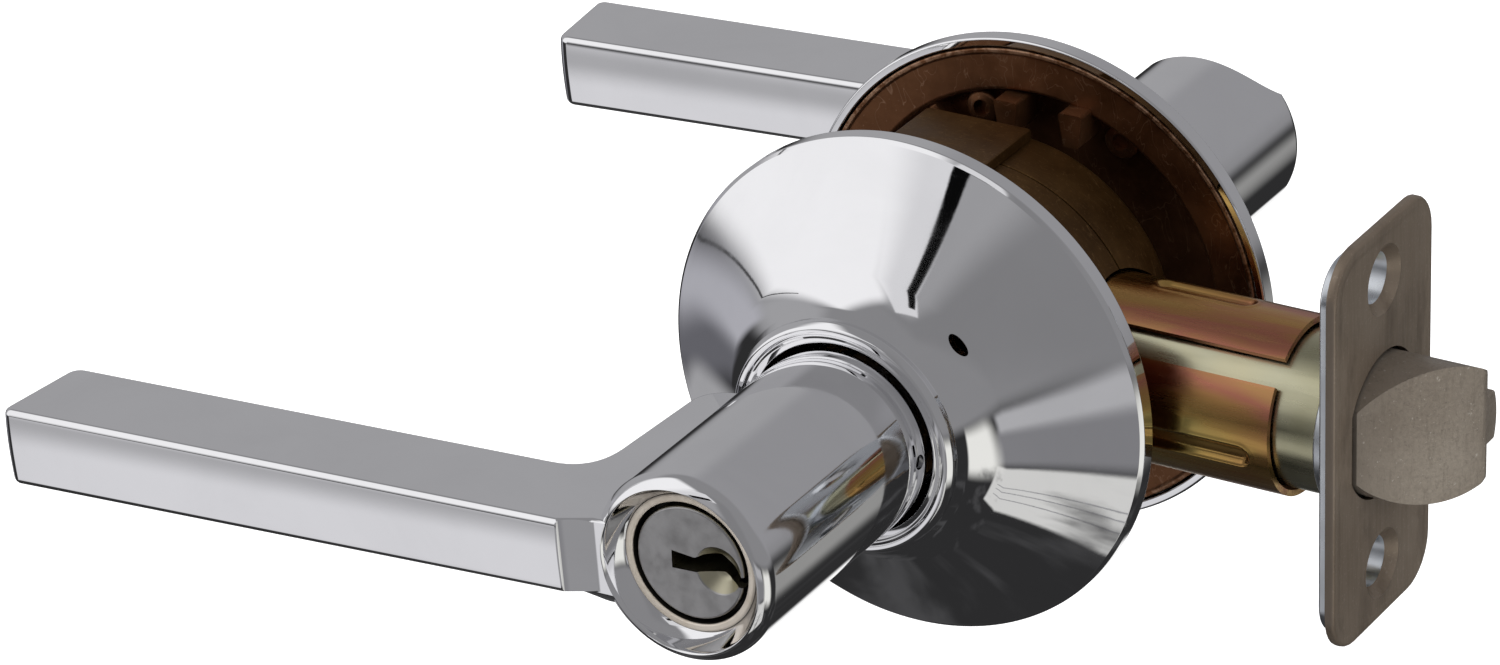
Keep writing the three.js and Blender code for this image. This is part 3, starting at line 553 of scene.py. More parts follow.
def bright_zinc():
    """Clear zinc plate with a faint spangle."""
    n = Nodes("bright_zinc")
    spangle = n.node("TexVoronoi", {"Vector": n.place, "Scale": 700}, "Distance")
    clouds = n.noise(120, 4, 0.6)
    tint = (0.66, 0.69, 0.72)
    colour = n.mix(n.span(clouds, 0.3, 0.75), tint, tuple(c * 1.12 for c in tint))
    roughness = n.span(clouds, 0.3, 0.75, 0.22, 0.38)
    normal = n.bump(spangle, 0.05, 0.03, n.bump(n.noise(1800, 2, 0.6), 0.08, 0.02))
    return n.done(colour, roughness, normal, Metallic=1.0)


def turned_metal(name, tint, dark, ring_scale, rough, wall_tint_and_shade=None, metallic=1.0):
    """Metal faced on a lathe: fine rings round the spindle axis over a faint mottle. Its cut walls,
    below the plug's face, can take another colour: on the plug, its own brass under the plating; on
    the ring, a near-black painted shade for the dark gap round the plug."""
    n = Nodes(name)
    x, y, z = n.axes()
    rings = n.math("SINE", n.math("MULTIPLY", n.radius(x, z), ring_scale))
    mottle = n.noise(300, 4, 0.6)
    colour = n.mix(n.span(mottle, 0.35, 0.75), tint, dark)
    # Past the plug's face the walls take the given colour: a real brass tint on the plug and a painted
    # shade on the ring.
    if wall_tint_and_shade:
        colour = n.mix(n.span(y, (0.08 - PLUG_FACE) * MM, (0.2 - PLUG_FACE) * MM), colour, wall_tint_and_shade)
    roughness = n.span(mottle, 0.3, 0.8, rough, rough + 0.12)
    normal = n.bump(rings, 0.05, 0.01, n.bump(n.noise(2400, 2, 0.6), 0.08, 0.02))
    return n.done(colour, roughness, normal, Metallic=metallic)


def spring_wire():
    n = Nodes("spring_wire")
    scale = n.noise(900, 3, 0.6)
    colour = n.ramp(scale, (0.3, (0.20, 0.20, 0.21)), (0.7, (0.36, 0.36, 0.37)))
    return n.done(colour, n.span(scale, 0.3, 0.7, 0.25, 0.42), n.bump(scale, 0.1, 0.02), Metallic=1.0)


CHROME = polished_chrome()
BROWN = cast_zinc(
    "cast_brown", (0.1, 0.04, 0.016), (0.2, 0.088, 0.04), (0.34, 0.165, 0.085), (0.5, 0.31, 0.2),
)
OLIVE_BROWN = cast_zinc(
    "cast_olive", (0.055, 0.026, 0.008), (0.1, 0.051, 0.016), (0.17, 0.092, 0.032), (0.33, 0.2, 0.085),
)
YELLOW = yellow_zinc()
OLIVE = olive_zinc()
SATIN = satin_nickel()
BOLT = sintered_steel()
ZINC = bright_zinc()
# The ring's near-black wall colour is painted shade: its bore below the plug's face stands for the dark
# gap round the plug.
BRASS = turned_metal(
    "ring_brass", (0.66, 0.6, 0.52), (0.56, 0.49, 0.4), 42000, 0.3, (0.02, 0.018, 0.015), 0.5,
)
PLUG = turned_metal(
    "satin_plug", (0.48, 0.475, 0.47), (0.42, 0.415, 0.41), 52000, 0.3, (0.52, 0.49, 0.36),
)
SPRING = spring_wire()

CAD_FINISHES = {
    "polished_chrome": CHROME, "satin_nickel_steel": BOLT, "cast_dark_zinc": BROWN,
    "yellow_zinc_steel": YELLOW, "olive_zinc_steel": OLIVE, "bright_zinc_steel": ZINC,
    "spring_steel": SPRING, "brass": BRASS, "nickel_plated_plug": PLUG,
}
for part in frame["record"]["subparts"]:
    mesh = frame["nodes"][part["node"]].data
    mesh.materials.clear()
    mesh.materials.append(CAD_FINISHES[part["material_slot"]])


# ---------------------------------------------------------------- roses
def rose(side):
    rim = SEAT + 2.4
    outline = [
        (34.1, SEAT, 0.2), (ROSE_RADIUS, SEAT, 0.35), (ROSE_RADIUS, rim, 0.3), (34.8, rim + 0.5, 0.4),
        *curve((34.8, rim + 0.5), (27.84, (rim + 0.5) * 0.53 + 28.4 * 0.47 - 0.2), (21.2, 28.4), 14),
        *curve((21.2, 28.4), (18.2, 30.65), (16.9, 33.3), 14), (16.5, 34.4, 0.5), (16.55, 35.3, 0.7),
        (15.9, COLLAR_TOP, 0.6), (15.1, COLLAR_TOP, 0.35), (14.75, COLLAR_TOP - 0.35, 0.2),
        (14.3, COLLAR_TOP - 0.25, 0.3), (13.45, COLLAR_TOP - 0.6, 0.35), (13.45, COLLAR_TOP - 1.6, 0.2),
        (13.95, COLLAR_TOP - 1.9), (13.95, 33, 0.5), (15.4, 31, 1), (19.3, 28.1, 1),
        (34.1, rim - 0.6, 0.4),
    ]
    made = turned(outline, side, FINE)
    hole = rod(0.8, 20, 40, side, SMALL)
    hole.data.transform(Matrix.Diagonal((0.75, 1, 2.2, 1)))
    return cut(made, moved(spun(hole, math.radians(-45)), 14.2, 0, 14))


for side, name in ((-1, "exterior_rose"), (1, "interior_rose")):
    finished(rose(side), name + "_shell", CHROME, "chassis", "polished_chrome", name)


# ---------------------------------------------------------------- levers
def underside(x):
    """Height of the arm's underside, which slopes down a little towards the tip."""
    run = max(0, min(1, (-x - NECK_X - 4) / (LEVER_REACH + TIP_SLANT - NECK_X - 4)))
    return -ARM_HEIGHT / 2 - TIP_DROP * run


def arm(face, side, keyed):
    """The straight arm and the web that joins it to the hub, seen from above."""
    back = face - ARM_DEPTH
    web = HUB_REAR + 1.6
    tip = -LEVER_REACH
    if keyed:
        ramp = [(-12.2, BEZEL + 0.3), (0, BEZEL + 0.3)]
        ahead = [(-NECK_X, face, 1.0), *ramp]
    else:
        ahead = [(-8, face), (-8, face - 3), (0, face - 3)]
    outline = [(tip - TIP_SLANT, face, FRONT_CORNER), *ahead, (0, web)]
    outline += [
        (-13.6, web), *curve((-13.6, web), (-18.6, web + 0.4), (-19.1, web + 4.9), 10),
        (-19.1, web + 4.9),
    ]
    outline += [(-20, back - 6), *curve((-20, back - 6), (-20.4, back), (-26, back), 10), (-26, back)]
    outline.append((tip, back, ARM_CORNER))
    half = ARM_HEIGHT / 2
    made = slab(outline, -half, half, across_z(side), (ARM_EDGE, ARM_EDGE), 6, 0.22)
    builder = bmesh.new()
    builder.from_mesh(made.data)
    fold = ((-NECK_X - 4) * MM, 0, 0)
    everything = [*builder.verts, *builder.edges, *builder.faces]
    bmesh.ops.bisect_plane(builder, geom=everything, plane_co=fold, plane_no=(1, 0, 0))
    for corner in builder.verts:
        if corner.co.z < 0:
            corner.co.z *= -underside(corner.co.x / MM) / half
    builder.to_mesh(made.data)
    builder.free()
    hub_point = (HUB_RADIUS * math.cos(FLARE_ANGLE), HUB_RADIUS * math.sin(FLARE_ANGLE))
    corner = (hub_point[0] + (half + hub_point[1]) * math.tan(FLARE_ANGLE), -half)
    foot = (-19.5, -half + 0.15)
    profile = [foot, *curve(foot, corner, hub_point, 12), hub_point, (-8, -2), (-19.5, -2)]
    flare = slab(profile, web + 5, face, across_y(side))
    if keyed:
        inner = [
            (-19.3, face - 2.8, 0.5), (-14.6, BEZEL + 0.5, 0.8), *ramp, (0, web + 3), (-19.3, web + 3),
        ]
        combine(flare, slab(inner, -20, 20, across_z(side)), "INTERSECT")
        fall = [
            (-20, BEZEL + 3), (-20, BEZEL - 3.4),
            *curve((-7.6, BEZEL - 3.4), (-7, BEZEL - 0.1), (-4.4, BEZEL), 10), (-4.2, BEZEL + 3),
        ]
        cut(flare, slab(fall, -20, 0, lambda z, y, height: (height, side * y, z)))
    else:
        flare = cut(flare, rod(HUB_RADIUS - 0.4, 0, LARGE, side))
        cut(flare, block((-LARGE, LARGE), sorted((side * (face - 3.2), side * LARGE)), (-LARGE, LARGE)))
    join(made, flare)
    if keyed:
        start, end = (-NECK_X + 0.1, face - NECK_STEP), (-11.9, BEZEL - 0.1)
        step = [(start[0], face + 1), start, *curve(start, (-14.2, BEZEL + 0.2), end, 14), end]
        step += [(-9, BEZEL - 0.15), (-9, face + 1)]
        cut(made, slab(step, -20, 20, across_z(side)))
    return made


def release_hole(side):
    hole = rod(1.0, 11, 14, steps=SMALL, along="X")
    return moved(hole, 0, side * RELEASE_HOLE, 0)


def exterior_lever():
    hub = [(0, HUB_REAR), (HUB_RADIUS, HUB_REAR, 0.7), (HUB_RADIUS, BEZEL, 2.5), (0, BEZEL)]
    lip = RING_RADIUS + 0.2
    dish = [(lip, BEZEL - 3.1)]
    crest = HUB_RADIUS - 1.75
    dish += curve((lip, BEZEL - 3.1), (lip + 0.75, BEZEL - 2.5), (crest, BEZEL - 0.45), 12)
    dish += [
        (crest, BEZEL - 0.45),
        *curve((crest, BEZEL - 0.45), (crest + 0.15, BEZEL - 0.15), (crest + 0.5, BEZEL + 0.05), 5),
    ]
    dish += [(crest + 0.5, BEZEL + 0.05), (crest + 0.5, BEZEL + 0.5), (0, BEZEL + 0.5)]
    hollow = [(0, HUB_REAR - 1), (HUB_BORE, HUB_REAR - 1), (HUB_BORE, BEZEL - 5.3), (lip, BEZEL - 5.3)]
    made = join(arm(EXTERIOR_FACE, -1, True), turned(hub, -1, FINE))
    cut(made, turned(hollow + dish, -1, FINE), release_hole(-1))
    return spun(made, -DROOP)


def interior_lever():
    end = INTERIOR_FACE - 0.2
    hub = [
        (0, HUB_REAR), (HUB_RADIUS, HUB_REAR, 0.7), (HUB_RADIUS, end, 1.8), (7.6, end, 0.5),
        (6.6, end - 1.4, 0.5), (0, end - 1.4),
    ]
    made = arm(INTERIOR_FACE, 1, False)
    cut(made, rod(7.4, end - 1.6, end + 2))
    join(made, turned(hub, 1, FINE))
    cut(made, rod(HUB_BORE, HUB_REAR - 1, end - 4.5))
    cut(made, rod(4.6, end - 6, end + 1))
    scoop = rod(10.5, -20, 20, steps=FINE, along="X")
    cut(made, moved(scoop, 0, end + 4.5, 16), release_hole(1))
    return spun(made, -DROOP)


for made, name in ((exterior_lever(), "exterior_lever"), (interior_lever(), "interior_lever")):
    finished(made, name + "_body", CHROME, name + "_set", "polished_chrome", name, angle=30)


# ---------------------------------------------------------------- key cylinder
def cylinder_ring():
    outline = [
        (6.45, SHELL_REAR), (11.4, SHELL_REAR, 0.3), (11.4, BEZEL - 5.6, 0.3),
        (RING_RADIUS + 0.12, BEZEL - 5.6, 0.3), (RING_RADIUS + 0.12, PLUG_FACE + 0.15, 0.3),
        (8.5, PLUG_FACE + 0.15, 0.3), (8.5, PLUG_FACE - 3.2), (6.45, PLUG_FACE - 3.2),
    ]
    return turned(outline, -1, FINE)


def plug():
    outline = [
        (0, SHELL_REAR - 1.6), (5, SHELL_REAR - 1.6, 0.3), (5, SHELL_REAR - 0.2),
        (6.35, SHELL_REAR - 0.2, 0.2), (6.35, PLUG_FACE - 1.5), (7.85, PLUG_FACE - 1.5, 0.2),
        (7.85, PLUG_FACE, 0.4), (0, PLUG_FACE),
    ]
    keyway = [
        (-2.7, 1.25, 0.1), (0.6, 0.95, 0.4), (1.7, 1.45, 0.5), (3.6, 1.5, 0.5), (4.6, 0.8, 0.4),
        (6.0, -0.2, 0.4), (8.6, -0.2), (8.6, -1.7), (5.2, -1.7, 0.4), (4.1, -1.1, 0.3),
        (2.6, -1.25, 0.4), (1.2, -1.05, 0.4), (-2.7, -1.25, 0.1),
    ]
    made = turned(outline, -1, FINE)
    slot = slab(keyway, SHELL_REAR - 0.4, PLUG_FACE + 1, across_y(-1))
    bowl = turned(
        [
            (0, PLUG_FACE - 1.9), (1.7, PLUG_FACE - 1.75, 1.5), (3.5, PLUG_FACE + 0.15),
            (0, PLUG_FACE + 0.15),
        ],
        -1, PLAIN,
    )
    return cut(made, slot, moved(bowl, 4.1, 0, -0.1))


finished(cylinder_ring(), "cylinder_body", BRASS, "exterior_lever_set", "brass", "cylinder_shell")
finished(plug(), "keyed_plug", PLUG, "plug", "nickel_plated_plug", "key_plug", angle=30)


# ---------------------------------------------------------------- interior button
def button():
    floor = INTERIOR_FACE - 6.2
    outline = [
        (1.7, floor - 0.6), (2.9, floor - 0.6, 0.15), (2.9, floor + 1.5), (4.3, floor + 1.5, 0.2),
        (4.3, INTERIOR_FACE - 0.5, 0.5), (0, INTERIOR_FACE - 0.5), (0, floor + 2), (1.7, floor + 2),
    ]
    bar = block((-3.4, 3.4), (INTERIOR_FACE - 1, INTERIOR_FACE + 1.25), (-0.95, 0.95), 0.35)
    return join(turned(outline, 1, PLAIN), bar)


finished(button(), "thumb_button", CHROME, "button", "polished_chrome", "turn_button")


# ---------------------------------------------------------------- mounting plates
def around(radius, degrees):
    """The x and z of a point round the spindle axis."""
    angle = math.radians(degrees)
    return radius * math.cos(angle), radius * math.sin(angle)


def mounting_plate(side, screw_hole, screw_seat):
    """The casting in the back of a rose: a flange, a cup, two tapered posts, two bosses and ribs."""
    outline = [
        (11, 20, 0.3), (26.6, 20, 1.2), (27.8, 16.4, 0.7), (32.9, 16.4, 0.2), (33.2, 16.15, 0.2),
        (33.8, 16.15, 0.25), (33.8, 17.5, 0.2), (29.1, 17.7, 0.6), (27.7, 21.4, 0.8), (11, 21.4, 0.3),
    ]
    made = turned(outline, side, PLAIN)
    for x in (-2.6, 7.2):
        wedge = [(x - 0.9, 22.4, 0.2), (x + 1.3, 22.4, 0.2), (x + 1.9, 27.2, 0.4), (x - 1.7, 27.2, 0.4)]
        join(made, slab(wedge, 13.6, 20.4, across_y(side)))
    for radius, degrees in ((24.6, 111), (25.4, 61)):
        x, z = around(radius, degrees)
        boss = turned(
            [(0, 18.3), (1.3, 18.3, 0.2), (2.5, 18.6, 0.6), (2.7, 20.4), (0, 20.4)], side, SMALL,
        )
        hole = rod(1.2, 15, 19.4, side, SMALL)
        join(made, moved(boss, x, 0, z))
        cut(made, moved(hole, x, 0, z))
    for degrees in (125, 160, 200):
        y = sorted((side * 17.0, side * 20.4))
        join(made, spun(block((12.5, 27.6), y, (-0.7, 0.7), 0.3), -math.radians(degrees)))
    for degrees in SCREW_ANGLES:
        x, z = around(SCREW_CIRCLE, degrees)
        way = rod(screw_hole, 15, 19, side, SMALL)
        seat = rod(screw_seat, 17.7, 24, side, SMALL)
        cut(made, moved(way, x, 0, z), moved(seat, x, 0, z))
    return made


finished(
    mounting_plate(-1, 2.05, 2.4), "exterior_plate_casting", BROWN, "chassis", "cast_dark_zinc",
    "exterior_mounting_plate",
)
finished(
    mounting_plate(1, 2.2, 3.2), "interior_plate_casting", BROWN, "chassis", "cast_dark_zinc",
    "interior_mounting_plate",
)


# ---------------------------------------------------------------- chassis
def chassis_half(side, seam):
    """Half the drum from the seam outwards, with its neck. seam is measured outwards on that side."""
    end = 12
    outline = [
        (22.5, seam), (DRUM_RADIUS, seam, 0.15), (DRUM_RADIUS, end, 1.1), (10.8, end, 0.5),
        (10.8, 27, 0.4), (8.75, 27, 0.3), (8.75, 10.5), (22.5, 10.5, 0.8),
    ]
    made = turned(outline, side, 2 * PLAIN)
    way = rod(12.5, 14, 26, along="X")
    return cut(made, way)


def interior_half():
    made = chassis_half(1, 2.6)
    for z in ((10, 14), (-14, -10)):
        stop = block((-21.5, -17.2), (-1.9, 11.2), z)
        free = rod(22.2, -2.5, 11)
        held = rod(23.2, 2.8, 11)
        join(made, combine(stop, join(free, held), "INTERSECT"))
    return made


def chassis_cap():
    """The flat slab over the seam, its top face level and its end face towards the latch."""
    slab_piece = block((-13, 3), (-11.2, 11.2), (14, 25.4), 0.45)
    return cut(slab_piece, rod(24.1, -20, 20, 1, 2 * PLAIN))


finished(
    chassis_half(-1, -2.4), "exterior_drum_half", OLIVE_BROWN, "chassis", "cast_dark_zinc",
    "chassis_exterior_half",
)
finished(
    interior_half(), "interior_drum_half", OLIVE_BROWN, "chassis", "cast_dark_zinc",
    "chassis_interior_half",
)
finished(chassis_cap(), "drum_cap", OLIVE_BROWN, "chassis", "cast_dark_zinc", "chassis_cap")


# ---------------------------------------------------------------- latch
def latch_tube():
    end = BACKPLATE_FRONT - 1
    outline = [
        (4.5, TUBE_REAR, 0.3), (TUBE_RADIUS, TUBE_REAR, 0.5), (TUBE_RADIUS, end), (10, end),
        (10, TUBE_REAR + 1.4), (4.5, TUBE_REAR + 1.4, 0.3),
    ]
    return turned(outline, steps=2 * PLAIN, along="X")


def sleeve(middle, slot_middle, slot_from, slot_to):
    """A pressed half sleeve round the tube with one long narrow bead sunk into it."""
    low, high = box_mm("latch_sleeve_upper")
    half_angle = 80.5
    along_steps, around_steps = 120, 130
    bead_half_width = 1.75

    def radius_at(x, degrees, outer):
        if not outer:
            return SLEEVE_BORE
        across = math.radians(degrees - slot_middle) * SLEEVE_RADIUS
        beyond = max(slot_from + bead_half_width - x, x - slot_to + bead_half_width, 0)
        away = math.hypot(across, beyond) / bead_half_width
        wall = min(1, max(0, (away - 0.5) / 0.45))
        sink = BEAD_DEPTH * (1 - wall * wall * (3 - 2 * wall))
        lip = 0.11 * math.exp(-(((away - 1.08) / 0.16) ** 2))
        return SLEEVE_RADIUS - 0.12 - sink + lip

    builder = bmesh.new()
    sheets = []
    for outer in (True, False):
        sheet = []
        for i in range(along_steps + 1):
            x = low.x + (high.x - low.x) * i / along_steps
            row = []
            for k in range(around_steps + 1):
                degrees = middle - half_angle + 2 * half_angle * k / around_steps
                r = radius_at(x, degrees, outer)
                t = math.radians(degrees)
                row.append(builder.verts.new((x, r * math.cos(t), r * math.sin(t))))
            sheet.append(row)
        sheets.append(sheet)
    for sheet in sheets:
        for i in range(along_steps):
            for k in range(around_steps):
                builder.faces.new((sheet[i][k], sheet[i + 1][k], sheet[i + 1][k + 1], sheet[i][k + 1]))
    outer, inner = sheets
    for i in range(along_steps):
        for k in (0, around_steps):
            builder.faces.new((outer[i][k], outer[i + 1][k], inner[i + 1][k], inner[i][k]))
    for k in range(around_steps):
        for i in (0, along_steps):
            builder.faces.new((outer[i][k], outer[i][k + 1], inner[i][k + 1], inner[i][k]))
    return new_object("sleeve", builder)


def rounded_rectangle(half_width, half_height, corner):
    corners = [
        (half_width, -half_height), (half_width, half_height), (-half_width, half_height),
        (-half_width, -half_height),
    ]
    return rounded([(a, b, corner) for a, b in corners])


def flatted_bar(radius, flat, low, high, steps):
    """A round bar along X with a flat on its spindle side."""
    angle = math.degrees(math.acos(flat / radius))
    return slab(arc((0, 0), radius, -180 + angle, 180 - angle, steps), low, high, across_x)


def countersink(z):
    outline = [
        (0, 50), (2.5, 50), (2.5, BACKSET - 2.4), (4.6, BACKSET - 0.25), (4.85, BACKSET + 0.02),
        (5.2, BACKSET + 1), (0, BACKSET + 1),
    ]
    return moved(turned(outline, along="X"), 0, 0, z)


def faceplate():
    """The front plate: rolled edges round a sunk face, a D-shaped opening and two countersinks."""
    outline = anticlockwise(
        without_repeats(rounded_rectangle(FACEPLATE_HALF_WIDTH, FACEPLATE_HALF_HEIGHT, 6.35))
    )
    levels = [
        (0.25, FACEPLATE_BACK), (0.05, FACEPLATE_BACK + 0.1), (0, FACEPLATE_BACK + 0.3),
        (0, BACKSET - 0.55), (0.06, BACKSET - 0.3), (0.2, BACKSET - 0.12), (0.42, BACKSET - 0.02),
        (0.65, BACKSET), (1.2, BACKSET), (1.5, BACKSET - 0.02), (1.9, BACKSET - 0.07),
        (2.2, BACKSET - 0.08),
    ]
    builder = bmesh.new()
    rings = [
        [builder.verts.new((x, p.x, p.y)) for p in inset(outline, distance)]
        for distance, x in levels
    ]
    skin(builder, rings)
    made = new_object("faceplate", builder)
    for z in (PLATE_HOLE, -PLATE_HOLE):
        rim = turned(
            [
                (0, BACKSET - 1.2), (5.9, BACKSET - 0.22), (5.5, BACKSET - 0.1), (5.1, BACKSET - 0.03),
                (0, BACKSET - 0.03),
            ],
            along="X",
        )
        join(made, moved(rim, 0, 0, z))
        cut(made, countersink(z))
    return cut(made, flatted_bar(OPENING_RADIUS, OPENING_FLAT, FACEPLATE_BACK - 1, BACKSET + 1, 72))


def backplate():
    front, back = BACKPLATE_FRONT, BACKPLATE_FRONT - 1.3
    outline = rounded_rectangle(backplate_high.y, backplate_high.z, 5.2)
    made = slab(outline, back, front, across_x, (0.35, 0.2), 4)
    collar = turned(
        [(0, back - 1.6), (11.7, back - 1.6, 0.4), (11.9, back + 0.3), (0, back + 0.3)], along="X",
    )
    join(made, collar)
    for z in (PLATE_HOLE, -PLATE_HOLE):
        dimple = turned(
            [(0, back - 1.4), (4, back - 1.4, 0.8), (6, back + 0.3), (0, back + 0.3)], along="X",
        )
        join(made, moved(dimple, 0, 0, z))
        hole = rod(3.9, back - 3, front + 1, along="X")
        cut(made, moved(hole, 0, 0, z))
    tube_way = rod(10.95, back - 3, back + 0.5, along="X")
    bolt_bore = rod(10.15, back - 3, BACKSET, along="X")
    return cut(made, tube_way, bolt_bore)


def bolt():
    """The spring bolt: a flatted round bar, bevelled on the exterior side and grooved on the other."""
    made = flatted_bar(BOLT_RADIUS, BOLT_FLAT, BOLT_REAR, BOLT_TIP, 96)
    bevel = [(BACKSET + 0.2, -20), (BACKSET + 0.2, -BOLT_FLAT)]
    bevel += curve((BACKSET + 0.2, -BOLT_FLAT), (BACKSET + 6.4, -3), (BOLT_TIP, BOLT_BACK - 0.5), 28)
    bevel += [(BOLT_TIP, BOLT_BACK - 0.5), (BOLT_TIP, 20), (BOLT_TIP + 20, 20), (BOLT_TIP + 20, -20)]
    wedge = slab(bevel, -20, 20, across_z(1))
    groove = block((BOLT_REAR - 1, BOLT_TIP + 1), (BOLT_BACK, 20), (-3.9, 3.9))
    back = block((BACKSET + 1, BOLT_TIP + 1), (BOLT_BACK, 20), (-20, 20))
    above = [(0, -9.8), (BOLT_TIP, -9.8, 2.6), (BOLT_TIP, 9.8, 2.6), (0, 9.8)]
    combine(made, slab(above, -20, 20, across_y(1)), "INTERSECT")
    socket = rod(2.6, BOLT_REAR - 1, BOLT_REAR + 4, steps=SMALL, along="X")
    cut(made, wedge, groove, back, socket)
    return soften(made, 0.45, 35)


def plunger():
    half = 3.56
    reach = math.degrees(math.asin(half / (BOLT_RADIUS - 0.2)))
    outline = [*arc((0, 0), BOLT_RADIUS - 0.2, -reach, reach, 16), (6.1, half), (6.1, -half)]
    return soften(slab(outline, BOLT_TIP - 12.8, BOLT_TIP - 0.3, across_x), 0.35, 40)


finished(latch_tube(), "tube_shell", OLIVE, "chassis", "olive_zinc_steel", "latch_tube")
finished(
    sleeve(44.5, 80, 26.2, 41), "upper_sleeve_shell", YELLOW, "chassis", "yellow_zinc_steel",
    "latch_sleeve_upper", angle=50,
)
finished(
    sleeve(224.5, 194.5, 29, 47), "lower_sleeve_shell", YELLOW, "chassis", "yellow_zinc_steel",
    "latch_sleeve_lower", angle=50,
)
finished(faceplate(), "front_plate", SATIN, "chassis", "satin_nickel_steel", "faceplate")
finished(backplate(), "rear_plate", ZINC, "chassis", "bright_zinc_steel", "backplate")
finished(bolt(), "bolt_body", BOLT, "bolt", "satin_nickel_steel", "latch_bolt")
finished(plunger(), "deadlatch_bar", BOLT, "deadlatch", "satin_nickel_steel", "deadlatch_plunger")


# ---------------------------------------------------------------- springs
def spring(node, body, axis, wire, turns):
    """A coil in the place of a CAD spring. The joint presses it shorter, towards its low end."""
    low, high = box_mm(node)
    size = high - low
    axis = Vector(axis)
    side = Vector((0, 0, 1)).cross(axis)
    length = size.dot(axis)
    foot = (low + high) / 2 - axis * length / 2
    coil_radius = size.z / 2 - wire
    steps, around_steps = turns * 24, 10
    builder = bmesh.new()
    rings = []
    for i in range(steps + 1):
        share = i / steps
        angle = 2 * math.pi * turns * share
        out = side * math.cos(angle) + Vector((0, 0, 1)) * math.sin(angle)
        centre = foot + axis * (wire + (length - 2 * wire) * share) + out * coil_radius
        ring = []
        for k in range(around_steps):
            turn = 2 * math.pi * k / around_steps
            spot = (out * math.cos(turn) + axis * math.sin(turn)) * wire
            ring.append(builder.verts.new(centre + spot))
        rings.append(ring)
    skin(builder, rings)
    made = finished(
        new_object("spring", builder), node + "_coil", SPRING, body, "spring_steel", node, angle=60,
    )
    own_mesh(made)


spring("button_spring", "interior_lever_set", (0, 1, 0), 0.3, 5)
spring("retractor_spring_upper", "chassis", (1, 0, 0), 0.3, 12)
spring("retractor_spring_lower", "chassis", (1, 0, 0), 0.3, 12)
spring("bolt_spring", "chassis", (1, 0, 0), 0.45, 7)
spring("plunger_spring", "bolt", (1, 0, 0), 0.2, 14)


# ---------------------------------------------------------------- studio
def direction(azimuth, elevation):
    """The unit vector at an azimuth from +Y towards +X and an elevation, in degrees."""
    a, e = math.radians(azimuth), math.radians(elevation)
    return Vector((math.sin(a) * math.cos(e), math.cos(a) * math.cos(e), math.sin(e)))


class Studio(Graph):
    """A world of soft panels round the object, each a soft-edged rectangle on the sky."""

    def __init__(self):
        world = bpy.data.worlds.new("studio")
        bpy.context.scene.world = world
        world.use_nodes = True
        super().__init__(world.node_tree)
        self.tree.nodes.clear()
        self.sight = self.node("TexCoord", {}, "Generated")
        self.light = (0, 0, 0)

    def along(self, vector):
        inputs = {0: self.sight, 1: vector}
        return self.node("VectorMath", inputs, "Value", operation="DOT_PRODUCT")

    def paint(self, share, colour):
        self.light = self.mix(share, self.light, colour)

    def panel(self, azimuth, elevation, half_width, half_height, softness, colour, tilt=0.0):
        """Paints a panel seen from the object, its size and soft edge in degrees."""
        ahead = direction(azimuth, elevation)
        across = ahead.cross(Vector((0, 0, 1))).normalized()
        up = across.cross(ahead)
        turn = math.radians(tilt)
        across, up = (
            across * math.cos(turn) + up * math.sin(turn),
            up * math.cos(turn) - across * math.sin(turn),
        )
        depth = self.along(ahead)
        share = self.span(depth, 0.02, 0.06)
        for axis, half in ((across, half_width), (up, half_height)):
            slope = self.math(
                "ABSOLUTE", self.math("DIVIDE", self.along(axis), self.math("MAXIMUM", depth, 0.02)),
            )
            inner, outer = (
                math.tan(math.radians(max(half - softness, 0.1))),
                math.tan(math.radians(half + softness)),
            )
            share = self.math("MULTIPLY", share, self.span(slope, outer, inner))
        self.paint(share, colour)

    def mottle(self, low, high, scale, colour):
        """Paints soft drifts over the part of the sky below a height."""
        inputs = {"Vector": self.sight, "Scale": scale, "Detail": 4}
        drift = self.span(self.node("TexNoise", inputs, "Fac"), 0.5, 0.68)
        below = self.span(self.along(Vector((0, 0, 1))), high, low)
        self.paint(self.math("MULTIPLY", drift, below), colour)

    def finish(self, backdrop):
        """Lights the scene with the panels, and shows the camera one plain backdrop."""
        lit = self.node("Background", {"Color": self.light}, 0)
        seen = self.node("Background", {"Color": backdrop}, 0)
        by_camera = self.node("LightPath", {}, "Is Camera Ray")
        shown = self.node("MixShader", {0: by_camera, 1: lit, 2: seen}, 0)
        self.node("OutputWorld", {"Surface": shown})


def grey(value, blue=1.03):
    return (value, value * 0.995, value * blue)


studio = Studio()
studio.paint(1.0, grey(0.027))
studio.paint(studio.span(studio.along(Vector((0, 0, 1))), -0.22, -0.02), grey(0.25))
studio.panel(10, 28, 50, 26, 10, grey(0.30, 1.04))
studio.panel(165, 25, 24, 42, 8, grey(0.222))
studio.panel(-172, 38, 14, 24, 6, grey(0.34))
studio.panel(-60, 20, 36, 22, 8, grey(0.36))
studio.panel(-160, 36, 8.8, 30, 1.0, grey(0.71, 1.02), 32)
studio.panel(-122, 27, 25, 37, 6, grey(0.93, 1.01))
studio.panel(-170.8, 36, 2.1, 19, 0.35, grey(0.003), 32)
studio.panel(-88, -14, 8, 13, 5, grey(0.43, 1.08))
studio.panel(-97.4, 4, 0.35, 19, 0.2, grey(0.05))
studio.panel(-80, -25, 6, 6, 4, grey(0.13, 1.12))
studio.panel(-69, -36, 9, 7, 2, grey(0.36, 1.03))
studio.panel(-62, -42, 5, 3.5, 1, grey(0.27, 1.06))
studio.panel(178, -27, 24, 12, 4, grey(0.30))
studio.panel(-145, -29, 9, 13, 3, grey(0.70))
studio.panel(-145, -21, 9, 3.5, 3, grey(0.42))
studio.panel(142, -27, 15, 9, 3, grey(0.22, 1.05))
studio.panel(142, -14, 13, 5, 2.5, grey(0.44))
studio.panel(142, -49, 15, 11.5, 1.0, grey(0.66, 0.97))
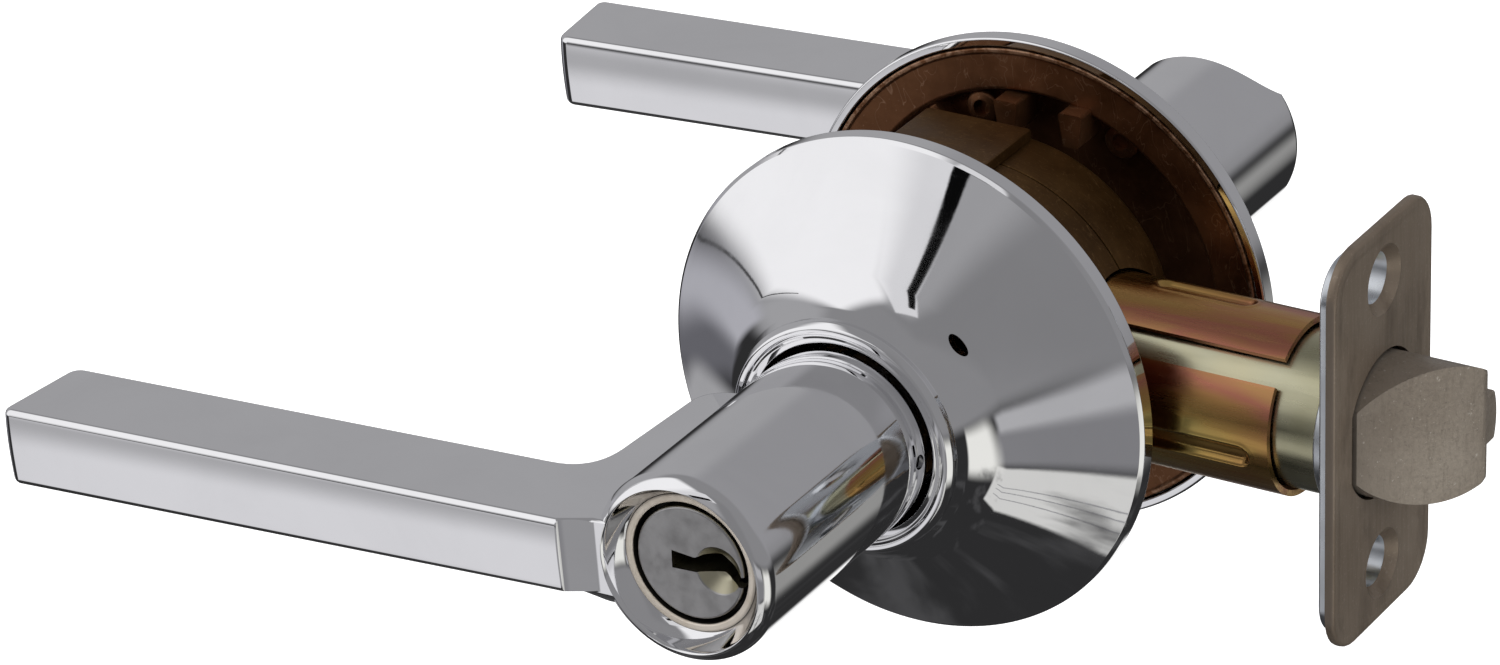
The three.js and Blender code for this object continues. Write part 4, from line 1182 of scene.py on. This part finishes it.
for line in (-47.5, -50, -53.5):
    studio.panel(142, line, 11, 0.22, 0.12, grey(0.3))
studio.panel(105, -26, 17, 16, 6, grey(0.85, 0.95))
studio.panel(36, -25, 10, 10, 6, grey(0.30, 0.97))
studio.panel(-28, -31, 15, 10, 2.5, grey(1.0, 0.99))
studio.mottle(-0.75, -0.55, 3.5, grey(0.065))
studio.finish((1.0, 1.0, 1.0))


def floor():
    """A wide pale sweep, low enough for the levers to turn all the way down over it."""
    lowest = DROOP + TURN
    low = -(LEVER_REACH + TIP_SLANT) * math.sin(lowest) - ARM_HEIGHT * math.cos(lowest)
    builder = bmesh.new()
    place = Matrix.Translation((0, 0, low))
    bmesh.ops.create_grid(builder, x_segments=24, y_segments=24, size=FLOOR_HALF, matrix=place)
    made = new_object("floor", builder)
    if made.data.polygons[0].normal.z < 0:
        made.data.flip_normals()
    n = Nodes("pale_floor")
    mottle = n.noise(6, 3, 0.5)
    pale = n.mix(n.span(mottle, 0.3, 0.7), (0.55, 0.55, 0.55), (0.58, 0.58, 0.58))
    made.data.materials.append(n.done(pale, 0.9, Emission_Color=(1, 1, 1, 1), Emission_Strength=0.74))
    made.visible_glossy = False


floor()


def lamp(name, azimuth, elevation, strength, spread):
    """A distant soft light for the matt surfaces: the polished ones see the panels instead."""
    data = bpy.data.lights.new(name, "SUN")
    data.energy = strength
    data.angle = math.radians(spread)
    made = bpy.data.objects.new(name, data)
    bpy.context.scene.collection.objects.link(made)
    made.rotation_mode = "QUATERNION"
    made.rotation_quaternion = direction(azimuth, elevation).to_track_quat("Z", "Y")
    made.visible_glossy = False


lamp("overhead", -150, 72, 2.3, 60)
lamp("side", 100, 28, 2.2, 45)

# ---------------------------------------------------------------- camera
VIEW_AZIMUTH = 32.0
VIEW_ELEVATION = 26.7
VIEW_ROLL = math.radians(-2.33)
VIEW_DISTANCE = 868.6
VIEW_OFFSET = (30.14, 0.585)  # how far the origin sits right of and above the middle of the frame
SENSOR = 36
LENS = 156.05

level = direction(90 - VIEW_AZIMUTH, 0)
forward = direction(-VIEW_AZIMUTH, -VIEW_ELEVATION)
upright = level.cross(forward)
right = level * math.cos(VIEW_ROLL) + upright * math.sin(VIEW_ROLL)
up = upright * math.cos(VIEW_ROLL) - level * math.sin(VIEW_ROLL)
camera_data = bpy.data.cameras.new("camera")
camera_data.sensor_width = SENSOR
camera_data.lens = LENS
camera_data.clip_start = 0.01
camera_data.clip_end = 50
camera = bpy.data.objects.new("camera", camera_data)
bpy.context.scene.collection.objects.link(camera)
place = (-VIEW_OFFSET[0] * right - VIEW_OFFSET[1] * up - VIEW_DISTANCE * forward) * MM
camera.matrix_world = Matrix.Translation(place) @ Matrix((right, up, -forward)).transposed().to_4x4()
bpy.context.scene.camera = camera
bpy.context.scene.view_settings.view_transform = "Standard"
